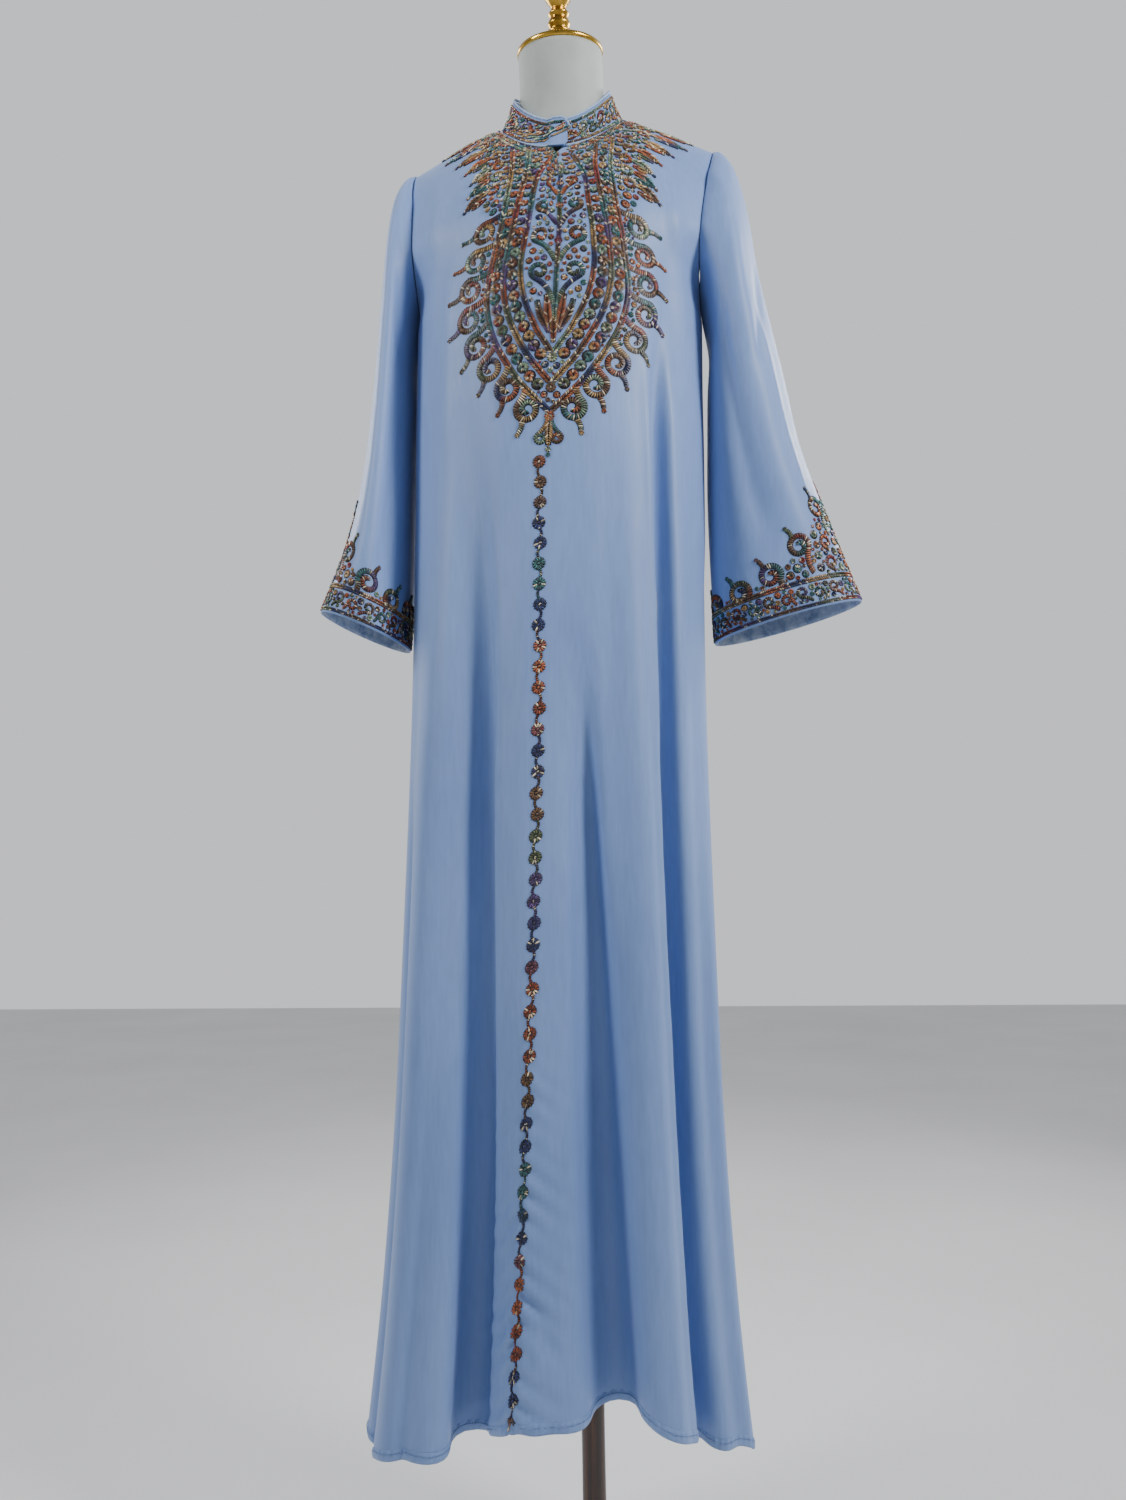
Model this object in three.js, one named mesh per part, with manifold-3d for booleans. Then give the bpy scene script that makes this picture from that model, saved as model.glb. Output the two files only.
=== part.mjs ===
// A long embroidered abaya resting on a limbless dress form.
// Millimetres, +Z up, the garment's front faces -Y, +X is to the right of someone facing it.
// The origin is the centre of the round base's underside, on the pole's axis.
import * as THREE from 'three';
import { mergeVertices } from 'three/addons/utils/BufferGeometryUtils.js';
import Module from 'manifold-3d';

const wasm = await Module();
wasm.setup();

// ---------- driving dimensions ----------
const WALL = 2;                  // thickness of the cloth
const SEAM_GAP = 0.3;            // clear distance between pieces that are sewn together
const UNDERARM_Z = 1370;         // where the side seam meets the armhole
const GARMENT_RISE = 120;        // the heights below are measured from this far above the floor
const HEM_Z = 132;               // mean height of the hem, from which the folds are measured
const SIDE_NECK_Z = 1636;        // highest point of the shoulder seam
const SHOULDER_TIP = { x: 185, y: 2, z: 1592 };
const NECKLINE = {
  halfWidth: 77, centreY: -6, front: 64, back: 60, middleZ: 1607, drop: 38, sideRise: 29,
};
const COLLAR_TOP = {
  halfWidth: 61, centreY: -10, front: 49, back: 54, middleZ: 1651, drop: 40, sideRise: 26,
};
const COLLAR_WALL = 2.6;
const NECK_SHARE = 0.36;         // share of a panel's half that ends at the neckline, not the shoulder
const SLIT_SHARE = 0.9;          // how far up the centre front is closed, of the way to the neckline
const SLIT_HALF_SHARE = 0.016;
const SHOULDER_ROUNDNESS = 1.6;  // 1 is a sharp ridge at the shoulder seam, 2 a half round
const ROUNDED_FROM_SHARE = 0.576;// share of a panel's half from which the shoulder is fully so rounded
const ARMHOLE_TURN = 32;         // degrees by which a panel's edge draws back from the side seam
const ARMHOLE_TURN_SHARE = 0.42; // share of the armhole's height over which it does so
const ARMHOLE_HOLLOW = 9;        // how far the armhole curves in between underarm and shoulder
const CHEST_CURVE = { side: 1.15, sidePower: 1.4, frontPower: 2.1, backPower: 2.6 };
const SIDE_SEAM_REACH = 188;     // distance along a panel from its middle to its side seam
const PIPING_RADIUS = 1.5;
const PIPING_STEPS = 44;
const POLE_RADIUS = 13;
const BASE = { radius: 155, height: 12, edge: 4 };
const FORM_BOTTOM_Z = 950;
const FORM_CLEARANCE = 0.6;      // between the cloth's inside and the form's shoulders
const FORM_SLOPE = 1.7;          // ratio of the same clearance measured front to back, where the cloth slopes
const RIDGE_CLEARANCE = 0.8;     // the same under the shoulder seam
const RIDGE_HALF_DEPTH = 1.5;    // the form's shoulders are no thinner than twice this
const RIDGE_SQUARENESS = 0.6;    // 1 is an oval ring, less is a squarer one
const RIDGE_BLEND = 200;         // height over which the form's rings turn from oval to squarer
const WIDTH_HALVINGS = 24;       // steps in which a place across a panel is found
const SHOULDER_RIDGE_Z = 1560;   // above this the form's width follows the shoulder seam

// The garment hangs a little to the left of the pole, more so towards the hem.
const DRIFT = { top: -8, hem: -38, topZ: 1640, hemZ: 100, power: 0.7 };

// Closed rings of the hanging body. twist turns the seams and the centre front about the vertical.
const SECTIONS = [
  { z: 90,   halfWidth: 206, front: 126, back: 128, twist: -12 },
  { z: 240,  halfWidth: 193, front: 126, back: 124, twist: -8.5 },
  { z: 430,  halfWidth: 183, front: 128, back: 120, twist: -6 },
  { z: 650,  halfWidth: 178, front: 130, back: 116, twist: -3.5 },
  { z: 900,  halfWidth: 174, front: 131, back: 113, twist: -2 },
  { z: 1100, halfWidth: 173, front: 133, back: 112, twist: -2 },
  { z: 1250, halfWidth: 174, front: 139, back: 114, twist: -1.5 },
  { z: 1370, halfWidth: 174, front: 141, back: 118, twist: 0 },
];

// Vertical folds: a row for each ridge (height > 0) or trough (height < 0).
// Angles are degrees from the front, positive to +X. lean pushes the crest sideways, in mm.
const FOLDS = [
  { name: 'left_front',    topAngle: -46, hemAngle: -52,  width: 22, height: 26,  startZ: 1180, lean: 9 },
  { name: 'left_edge',     topAngle: -36, hemAngle: -37,  width: 9,  height: 18,  startZ: 580,  lean: 16 },
  { name: 'left_trough',   topAngle: -29, hemAngle: -27,  width: 15, height: -27, startZ: 1240, lean: 0 },
  { name: 'centre',        topAngle: -6,  hemAngle: -8,   width: 20, height: 13,  startZ: 1120, lean: 0 },
  { name: 'right_trough',  topAngle: 8,   hemAngle: 19,   width: 14, height: -24, startZ: 980,  lean: 0 },
  { name: 'right_front',   topAngle: 33,  hemAngle: 36,   width: 15, height: 24,  startZ: 1230, lean: 8 },
  { name: 'right_pleat',   topAngle: 45,  hemAngle: 54,   width: 9,  height: -26, startZ: 1345, lean: 0 },
  { name: 'right_side',    topAngle: 74,  hemAngle: 76,   width: 17, height: 12,  startZ: 1020, lean: 0 },
  { name: 'right_back_in', topAngle: 102, hemAngle: 102,  width: 17, height: -20, startZ: 1000, lean: 0 },
  { name: 'right_back',    topAngle: 124, hemAngle: 126,  width: 20, height: 22,  startZ: 1180, lean: -5 },
  { name: 'back_in_right', topAngle: 146, hemAngle: 149,  width: 17, height: -22, startZ: 1120, lean: 0 },
  { name: 'back_middle',   topAngle: 170, hemAngle: 172,  width: 20, height: 20,  startZ: 1230, lean: 6 },
  { name: 'back_in_left',  topAngle: 197, hemAngle: 196,  width: 17, height: -22, startZ: 1060, lean: 0 },
  { name: 'left_back',     topAngle: 219, hemAngle: 219,  width: 20, height: 23,  startZ: 1190, lean: 5 },
  { name: 'left_back_in',  topAngle: 243, hemAngle: 242,  width: 17, height: -20, startZ: 1080, lean: 0 },
  { name: 'left_side',     topAngle: 265, hemAngle: 265,  width: 19, height: 13,  startZ: 1020, lean: 0 },
  { name: 'left_side_in',  topAngle: 288, hemAngle: 286,  width: 12, height: -11, startZ: 900,  lean: 0 },
];

// Height of the hem round the garment: it lifts over the front, which hangs from the bust.
const HEM = [
  { angle: -180, z: 112 },
  { angle: -130, z: 100 },
  { angle: -92,  z: 92 },
  { angle: -70,  z: 88 },
  { angle: -58,  z: 109 },
  { angle: -50,  z: 116 },
  { angle: -38,  z: 124 },
  { angle: -28,  z: 130 },
  { angle: -20,  z: 144 },
  { angle: -10,  z: 157 },
  { angle: 10,   z: 158 },
  { angle: 24,   z: 163 },
  { angle: 34,   z: 150 },
  { angle: 46,   z: 135 },
  { angle: 56,   z: 118 },
  { angle: 70,   z: 113 },
  { angle: 84,   z: 98 },
  { angle: 130,  z: 100 },
  { angle: 180,  z: 112 },
];

// Each sleeve: the section's inner and outer points, half its depth and its place front to back.
const SLEEVE_RIGHT = [
  { along: 0.10, innerX: 170, innerZ: 1352, outerX: 200, outerZ: 1580, halfDepth: 77, middleY: 2 },
  { along: 0.22, innerX: 172, innerZ: 1326, outerX: 219, outerZ: 1520, halfDepth: 79, middleY: 5 },
  { along: 0.36, innerX: 169, innerZ: 1284, outerX: 234, outerZ: 1420, halfDepth: 78, middleY: 8 },
  { along: 0.50, innerX: 167, innerZ: 1228, outerX: 254, outerZ: 1320, halfDepth: 74, middleY: 10 },
  { along: 0.66, innerX: 165, innerZ: 1152, outerX: 277, outerZ: 1212, halfDepth: 66, middleY: 12 },
  { along: 0.83, innerX: 166, innerZ: 1066, outerX: 310, outerZ: 1112, halfDepth: 55, middleY: 14 },
  { along: 1.00, innerX: 169, innerZ: 980,  outerX: 341, outerZ: 1024, halfDepth: 47, middleY: 14 },
];
const SLEEVE_LEFT = [
  { along: 0.10, innerX: 185, innerZ: 1352, outerX: 199, outerZ: 1578, halfDepth: 77, middleY: 0 },
  { along: 0.22, innerX: 187, innerZ: 1326, outerX: 214, outerZ: 1515, halfDepth: 80, middleY: 0 },
  { along: 0.36, innerX: 187, innerZ: 1284, outerX: 224, outerZ: 1420, halfDepth: 81, middleY: 0 },
  { along: 0.50, innerX: 189, innerZ: 1228, outerX: 233, outerZ: 1310, halfDepth: 82, middleY: 0 },
  { along: 0.66, innerX: 191, innerZ: 1152, outerX: 246, outerZ: 1200, halfDepth: 82, middleY: -2 },
  { along: 0.83, innerX: 193, innerZ: 1066, outerX: 267, outerZ: 1106, halfDepth: 81, middleY: -6 },
  { along: 1.00, innerX: 197, innerZ: 984,  outerX: 298, outerZ: 1026, halfDepth: 79, middleY: -12 },
];

// Right half of the yoke's outline, measured from its own middle, shoulder first.
const YOKE_OUTLINE = [
  { name: 'shoulder',  x: 156, z: 1594 },
  { name: 'underside', x: 146, z: 1562 },
  { name: 'notch',     x: 94,  z: 1526 },
  { name: 'chest',     x: 108, z: 1486 },
  { name: 'side_high', x: 122, z: 1440 },
  { name: 'side',      x: 129, z: 1390 },
  { name: 'side_low',  x: 128, z: 1334 },
  { name: 'bend',      x: 104, z: 1276 },
  { name: 'slope',     x: 74,  z: 1238 },
  { name: 'slope_low', x: 44,  z: 1206 },
];
const YOKE = { middleX: -1, middleZ: 1400, tipX: -18, tipZ: 1172, inset: 3, startShare: 0.7,
  toothDepth: 7, teeth: 2, lift: 0.4, thickness: 1.3, sideColumns: 2, cutterDepth: 400 };
const CHAIN = { topZ: 1160, rosettes: 45, wide: 5.5, narrow: 1.8, lift: 0.5, thickness: 1.4, hemMargin: 10 };
const SLEEVE_LENGTH = 610;
const SLEEVE_HEAD_SHARE = 0.16;  // share of the sleeve over which its head eases into the first section
const SLEEVE_SEAM_GAP = 0.7;     // the gathered head stands off the armhole by a little more than other seams
const CUFF_BAND = {
  base: 62, crest: 88, crestWidth: 62, scallop: 9, columns: 24, margin: 3, lift: 0.4, thickness: 1.3,
};
const CUTTER_REACH = 16;         // half the thickness of the body that trims a cuff's embroidery

// Rings of the dress form's torso, bottom to shoulders. shiftX and shiftY move a ring sideways and back.
const FORM_SECTIONS = [
  { z: 950,  halfWidth: 128, halfDepth: 90,  shiftX: -14, shiftY: 0 },
  { z: 962,  halfWidth: 141, halfDepth: 99,  shiftX: -14, shiftY: 0 },
  { z: 1050, halfWidth: 149, halfDepth: 100, shiftX: -13, shiftY: 0 },
  { z: 1150, halfWidth: 140, halfDepth: 95,  shiftX: -12, shiftY: -2 },
  { z: 1250, halfWidth: 122, halfDepth: 90,  shiftX: -11, shiftY: -8 },
  { z: 1320, halfWidth: 136, halfDepth: 102, shiftX: -10, shiftY: -14 },
  { z: 1380, halfWidth: 146, halfDepth: 110, shiftX: -9,  shiftY: -16 },
  { z: 1440, halfWidth: 148, halfDepth: 102, shiftX: -8,  shiftY: -11 },
  { z: 1500, halfWidth: 148, halfDepth: 86,  shiftX: -8,  shiftY: -4 },
  { z: 1550, halfWidth: 150, halfDepth: 70,  shiftX: -8,  shiftY: 0 },
  { z: 1580, halfWidth: 150, halfDepth: 44,  shiftX: -8,  shiftY: 2 },
  { z: 1600, halfWidth: 150, halfDepth: 24,  shiftX: -8,  shiftY: 3 },
  { z: 1612, halfWidth: 150, halfDepth: 12,  shiftX: -8,  shiftY: 3 },
  { z: 1622, halfWidth: 150, halfDepth: 7,   shiftX: -8,  shiftY: 2 },
  { z: 1630, halfWidth: 150, halfDepth: 5,   shiftX: -8,  shiftY: -1 },
];
// Rings of its neck, which leans forward and ends flat under the cap.
const NECK_SECTIONS = [
  { z: 1530, radius: 48, y: 10, tilt: 0 },
  { z: 1575, radius: 53, y: 3,  tilt: 2 },
  { z: 1615, radius: 53, y: -1, tilt: 5 },
  { z: 1665, radius: 52, y: -9, tilt: 9 },
  { z: 1722, radius: 52, y: -22, tilt: 12 },
];

// ---------- small helpers ----------
const rad = THREE.MathUtils.degToRad;
const lerp = THREE.MathUtils.lerp;
const clamp = THREE.MathUtils.clamp;
const smooth = (x) => THREE.MathUtils.smoothstep(x, 0, 1);

// Value of one column of a table at a given place, on a smooth curve through its rows.
function sample(rows, key, column, at) {
  const last = rows.length - 1;
  const place = clamp(at, Math.min(rows[0][key], rows[last][key]), Math.max(rows[0][key], rows[last][key]));
  let i = 0;
  while (i < last - 1 && place > rows[i + 1][key]) i += 1;
  const slope = (k) => {
    const a = Math.max(k - 1, 0);
    const b = Math.min(k + 1, last);
    return (rows[b][column] - rows[a][column]) / (rows[b][key] - rows[a][key]);
  };
  const span = rows[i + 1][key] - rows[i][key];
  const t = (place - rows[i][key]) / span;
  const rise = rows[i + 1][column] - rows[i][column];
  const bend = slope(i) * span - rise;
  const unbend = rise - slope(i + 1) * span;
  return lerp(rows[i][column], rows[i + 1][column], t) + t * (1 - t) * (bend * (1 - t) + unbend * t);
}

function driftX(z) {
  const up = clamp((z - DRIFT.hemZ) / (DRIFT.topZ - DRIFT.hemZ), 0, 1);
  return lerp(DRIFT.top, DRIFT.hem, (1 - up) ** DRIFT.power);
}

function steps(from, to, count) {
  return Array.from({ length: count + 1 }, (_, i) => lerp(from, to, i / count));
}

// ---------- closed meshes from grids of points ----------
function meshFromTriangles(points, triangles) {
  const geometry = new THREE.BufferGeometry();
  const coordinates = points.flatMap((p) => [p.x, p.y, p.z]);
  geometry.setAttribute('position', new THREE.Float32BufferAttribute(coordinates, 3));
  let volume = 0;
  for (const [a, b, c] of triangles) {
    volume += points[a].dot(new THREE.Vector3().crossVectors(points[b], points[c]));
  }
  geometry.setIndex((volume < 0 ? triangles.map(([a, b, c]) => [a, c, b]) : triangles).flat());
  geometry.computeVertexNormals();
  return geometry;
}

// A wall between two grids of points with the same rows and columns.
function wallBetween(outer, inner, closed) {
  const rows = outer.length;
  const columns = outer[0].length;
  const points = [...outer.flat(), ...inner.flat()];
  const at = (layer, j, i) => layer * rows * columns + j * columns + (i % columns);
  const triangles = [];
  const quad = (a, b, c, d) => triangles.push([a, b, c], [a, c, d]);
  const lastColumn = closed ? columns : columns - 1;
  for (let j = 0; j < rows - 1; j += 1) {
    for (let i = 0; i < lastColumn; i += 1) {
      quad(at(0, j, i), at(0, j, i + 1), at(0, j + 1, i + 1), at(0, j + 1, i));
      quad(at(1, j, i), at(1, j + 1, i), at(1, j + 1, i + 1), at(1, j, i + 1));
    }
  }
  for (let i = 0; i < lastColumn; i += 1) {
    quad(at(0, 0, i + 1), at(0, 0, i), at(1, 0, i), at(1, 0, i + 1));
    quad(at(0, rows - 1, i), at(0, rows - 1, i + 1), at(1, rows - 1, i + 1), at(1, rows - 1, i));
  }
  if (!closed) {
    const end = columns - 1;
    for (let j = 0; j < rows - 1; j += 1) {
      quad(at(0, j, 0), at(0, j + 1, 0), at(1, j + 1, 0), at(1, j, 0));
      quad(at(0, j + 1, end), at(0, j, end), at(1, j, end), at(1, j + 1, end));
    }
  }
  return meshFromTriangles(points, triangles);
}

// Outward normal of a surface given as a function of two parameters.
function normalAt(surface, u, v, outward) {
  const step = 1e-3;
  const alongU = surface(u + step, v).sub(surface(u - step, v));
  const alongV = surface(u, v + step).sub(surface(u, v - step));
  return alongU.cross(alongV).normalize().multiplyScalar(outward);
}

// Points of a surface at chosen parameters, with the outward normal beside each.
function gridOf(surface, columns, rows, outward) {
  return rows.map((v) => columns.map((u) => {
    const place = [u, typeof v === 'function' ? v(u) : v];
    return { point: surface(...place), normal: normalAt(surface, ...place, outward) };
  }));
}

const movedOut = (grid, distance) => grid.map((row) => row.map(
  ({ point, normal }) => point.clone().addScaledVector(normal, distance)));

// ---------- the hanging body ----------
function foldAt(angle, z) {
  const total = { out: 0, side: 0 };
  for (const fold of FOLDS) {
    if (z >= fold.startZ) continue;
    const down = (fold.startZ - z) / (fold.startZ - HEM_Z);
    let away = angle - lerp(fold.topAngle, fold.hemAngle, down);
    away -= 360 * Math.round(away / 360);
    const width = fold.width * lerp(0.8, 1, down);
    if (Math.abs(away) >= width) continue;
    const crest = (1 + Math.cos(Math.PI * away / width)) / 2;
    const growth = Math.min(down, 1.05) ** 0.8;
    total.out += fold.height * growth * crest;
    total.side += fold.lean * growth * crest * crest;
  }
  return total;
}

function bodyPoint(angle, z) {
  const halfWidth = sample(SECTIONS, 'z', 'halfWidth', z);
  const depth = sample(SECTIONS, 'z', Math.cos(rad(angle)) > 0 ? 'front' : 'back', z);
  const sin = Math.sin(rad(angle));
  const cos = Math.cos(rad(angle));
  const normal = new THREE.Vector2(sin / halfWidth, -cos / depth).normalize();
  const { out, side } = foldAt(angle, z);
  return new THREE.Vector3(
    driftX(z) + halfWidth * sin + normal.x * out - normal.y * side,
    -depth * cos + normal.y * out + normal.x * side,
    z,
  );
}

function hemZ(angle) {
  return sample(HEM, 'angle', 'z', angle - 360 * Math.round(angle / 360));
}

// ---------- neckline and shoulders ----------
function ovalPoint(oval, angle) {
  const sin = Math.sin(rad(angle));
  const cos = Math.cos(rad(angle));
  return new THREE.Vector3(
    DRIFT.top + oval.halfWidth * sin,
    oval.centreY - (cos > 0 ? oval.front : oval.back) * cos,
    oval.middleZ - oval.drop * cos + oval.sideRise * sin * sin,
  );
}

// Top edge of a panel: the neckline for |u| < NECK_SHARE, the shoulder seam beyond it.
function topEdge(u, face) {
  const side = Math.sign(u) || 1;
  const share = Math.abs(u);
  if (share < NECK_SHARE) {
    const angle = 90 * share / NECK_SHARE;
    return ovalPoint(NECKLINE, side * (face < 0 ? angle : 180 - angle));
  }
  const neck = ovalPoint(NECKLINE, side * 90);
  const tip = new THREE.Vector3(DRIFT.top + side * SHOULDER_TIP.x, SHOULDER_TIP.y, SHOULDER_TIP.z);
  return neck.lerp(tip, (share - NECK_SHARE) / (1 - NECK_SHARE));
}

// Panel above the underarm: t runs from the underarm (0) to the top edge (1). face is -1 front, 1 back.
function chestPoint(u, t, face) {
  const share = Math.abs(u);
  const up = clamp(t, 0, 1);
  const turn = 90 - ARMHOLE_TURN * smooth(up / ARMHOLE_TURN_SHARE);
  const angle = u * turn;
  const top = topEdge(u, face);
  const section = sample(SECTIONS, 'z', 'halfWidth', UNDERARM_Z);
  const depth = sample(SECTIONS, 'z', face < 0 ? 'front' : 'back', UNDERARM_Z);
  const armholeX = section - ARMHOLE_HOLLOW * Math.sin(Math.PI * up);
  const lowX = driftX(UNDERARM_Z) + armholeX * Math.sin(rad(angle)) / Math.sin(rad(turn));
  const lowY = face * depth * Math.cos(rad(angle));
  const roundness = lerp(CHEST_CURVE.side, SHOULDER_ROUNDNESS, smooth(share / ROUNDED_FROM_SHARE));
  const fall = (1 - up ** (face < 0 ? CHEST_CURVE.frontPower : CHEST_CURVE.backPower)) ** (1 / roundness);
  return new THREE.Vector3(
    lerp(lowX, top.x, up ** CHEST_CURVE.sidePower),
    lerp(top.y, lowY, fall),
    lerp(UNDERARM_Z, top.z, t),
  );
}

// One panel as a surface: u across from -1 to 1, v from 0 at the hem, 1 at the underarm, to 2 at the top.
function panelSurface(face) {
  return (u, v) => {
    if (v > 1) return chestPoint(u, v - 1, face);
    const base = face < 0 ? 90 * u : 180 - 90 * u;
    const hem = hemZ(base + SECTIONS[0].twist);
    const z = lerp(hem, UNDERARM_Z, v);
    return bodyPoint(base + sample(SECTIONS, 'z', 'twist', z), z);
  };
}
const frontSurface = panelSurface(-1);
const backSurface = panelSurface(1);

const SKIRT_ROWS = [0, 0.02, 0.11, 0.23, 0.36, 0.49, 0.61, 0.72, 0.82, 0.91, 0.97];
const FRONT_CHEST_ROWS = [0.03, 0.18, 0.34, 0.5, 0.65, 0.78, 0.88, 0.95, 0.985, 1];
const BACK_CHEST_ROWS = [0.03, 0.24, 0.46, 0.66, 0.82, 0.93, 0.98, 1];
const FRONT_COLUMNS = 40;
const BACK_COLUMNS = 30;

// Columns across a panel, stopped just short of the side seams.
function panelColumns(count) {
  const reach = 1 - SEAM_GAP / 2 / SIDE_SEAM_REACH;
  return steps(-reach, reach, count);
}

function frontColumns() {
  const clearOfSlit = (u) => Math.abs(u) < 1e-9 || Math.abs(u) > SLIT_HALF_SHARE * 1.5;
  const columns = panelColumns(FRONT_COLUMNS).filter(clearOfSlit);
  return [...columns, -SLIT_HALF_SHARE, SLIT_HALF_SHARE].sort((a, b) => a - b);
}

function frontRows() {
  const slitRow = (t) => (u) => 1 + t * (Math.abs(u) < SLIT_HALF_SHARE / 2 ? SLIT_SHARE : 1);
  return [...SKIRT_ROWS, ...FRONT_CHEST_ROWS.map(slitRow)];
}

const FRONT_GRID_COLUMNS = frontColumns();
const CENTRE_COLUMN = FRONT_GRID_COLUMNS.findIndex((u) => Math.abs(u) < 1e-9);
const frontGrid = gridOf(frontSurface, FRONT_GRID_COLUMNS, frontRows(), 1);
const BACK_ROWS = [...SKIRT_ROWS, ...BACK_CHEST_ROWS.map((t) => 1 + t)];
const backGrid = gridOf(backSurface, panelColumns(BACK_COLUMNS), BACK_ROWS, -1);

// Both panels stop short of the shoulder seam and lean their edge upright there.
function squareShoulder(grid, face) {
  const top = grid[grid.length - 1];
  for (const cell of top) {
    cell.normal.y = face * Math.min(face * cell.normal.y, 0);
    cell.normal.normalize();
    cell.point.y += face * SEAM_GAP / 2;
  }
}
squareShoulder(frontGrid, -1);
squareShoulder(backGrid, 1);

function panel(grid) {
  return wallBetween(movedOut(grid, 0), movedOut(grid, -WALL), false);
}

// ---------- sleeves ----------
// turn 0 is the outer line of the sleeve, 90 its front, 180 the underarm side, 270 its back.
function sleeveSurface(side, table) {
  const edge = (turn) => {
    const t = (1 + Math.cos(rad(turn))) / 2;
    return chestPoint(side, t, Math.sin(rad(turn)) >= 0 ? -1 : 1);
  };
  const low = edge(180);
  const high = edge(0);
  const head = {
    ...table[0],
    along: 0,
    innerX: side * (low.x - DRIFT.top),
    innerZ: low.z,
    outerX: side * (high.x - DRIFT.top),
    outerZ: high.z,
  };
  const rows = [head, ...table];
  return (turn, s) => {
    const get = (column) => sample(rows, 'along', column, s);
    const across = Math.cos(rad(turn));
    const ring = new THREE.Vector3(
      DRIFT.top + side * (lerp(get('innerX'), get('outerX'), (1 + across) / 2)),
      get('middleY') - get('halfDepth') * Math.sin(rad(turn)),
      lerp(get('innerZ'), get('outerZ'), (1 + across) / 2),
    );
    const start = edge(turn);
    start.x += side * SLEEVE_SEAM_GAP;
    return start.lerp(ring, smooth(s / SLEEVE_HEAD_SHARE));
  };
}

const SLEEVE_TURNS = 22;
const SLEEVE_ROWS = [0, 0.05, 0.1, 0.16, 0.23, 0.31, 0.4, 0.5, 0.6, 0.7, 0.8, 0.9, 1];

function sleeveGrid(side, table, rows) {
  const turns = steps(0, 360, SLEEVE_TURNS).slice(0, -1);
  return gridOf(sleeveSurface(side, table), turns, rows, side);
}

function sleeve(side, table) {
  const grid = sleeveGrid(side, table, SLEEVE_ROWS);
  return wallBetween(movedOut(grid, 0), movedOut(grid, -WALL), true);
}

// Embroidered cuff: a low band all round that rises to a crest on the sleeve's outer side.
// It is the sleeve's own points moved out, cut along a scalloped line.
function cuffBand(side, table) {
  const turns = steps(0, 360, CUFF_BAND.columns).slice(0, -1);
  const topLine = (turn) => {
    const away = Math.abs(((turn + 180) % 360) - 180);
    const crest = CUFF_BAND.crest * Math.exp(-((away / CUFF_BAND.crestWidth) ** 2));
    const scallop = CUFF_BAND.scallop * (Math.round(turn * CUFF_BAND.columns / 360) % 2);
    return 1 - (CUFF_BAND.base + crest - scallop) / SLEEVE_LENGTH;
  };
  const lowLine = 1 - CUFF_BAND.margin / SLEEVE_LENGTH;
  const cutter = gridOf(sleeveSurface(side, table), turns, [lowLine, topLine], side);
  const rows = SLEEVE_ROWS.filter((s) => s > 0.9 - (CUFF_BAND.base + CUFF_BAND.crest) / SLEEVE_LENGTH);
  const skin = sleeveGrid(side, table, rows);
  const band = wallBetween(
    movedOut(skin, CUFF_BAND.lift + CUFF_BAND.thickness),
    movedOut(skin, CUFF_BAND.lift),
    true,
  );
  const reach = wallBetween(movedOut(cutter, CUTTER_REACH), movedOut(cutter, -CUTTER_REACH), true);
  return geometryOf(solidOf(band).intersect(solidOf(reach)));
}

// ---------- collar ----------
const COLLAR_TURNS = 40;
const COLLAR = {
  start: 3, end: 369, seamRise: 1.4, lap: 5, lapFrom: 346, lapTurn: 10, roundFrom: 363, rounding: 0.9,
  pipingGap: 1.1, hug: 2,
};
const COLLAR_END_COLUMNS = 3;
const UP_STEP = 0.05;            // share of the collar's height that tells which way is up at its edge

function collarPoint(angle, height) {
  const low = ovalPoint(NECKLINE, angle);
  const high = ovalPoint(COLLAR_TOP, angle);
  const hug = Math.sin(Math.PI * height) * COLLAR.hug;
  const out = new THREE.Vector3(Math.sin(rad(angle)), -Math.cos(rad(angle)), 0);
  const lap = COLLAR.lap * smooth((angle - COLLAR.lapFrom) / COLLAR.lapTurn);
  return low.lerp(high, height).addScaledVector(out, lap - hug);
}

// The lapped end is rounded, so its columns grow shorter.
function collarHeights(angle) {
  const round = clamp((angle - COLLAR.roundFrom) / (COLLAR.end - COLLAR.roundFrom), 0, 1);
  const half = 0.5 * Math.sqrt(1 - (COLLAR.rounding * round) ** 2);
  const slant = ovalPoint(COLLAR_TOP, angle).distanceTo(ovalPoint(NECKLINE, angle));
  return { low: Math.max(0.5 - half, COLLAR.seamRise / slant), high: 0.5 + half };
}

function collarAngles() {
  const most = steps(COLLAR.start, COLLAR.roundFrom, COLLAR_TURNS);
  return [...most, ...steps(COLLAR.roundFrom, COLLAR.end, COLLAR_END_COLUMNS).slice(1)];
}

function collar() {
  const rows = [0, 0.5, 1].map((k) => (angle) => {
    const { low, high } = collarHeights(angle);
    return lerp(low, high, k);
  });
  const grid = gridOf(collarPoint, collarAngles(), rows, 1);
  return wallBetween(movedOut(grid, 0), movedOut(grid, -COLLAR_WALL), false);
}

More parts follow.
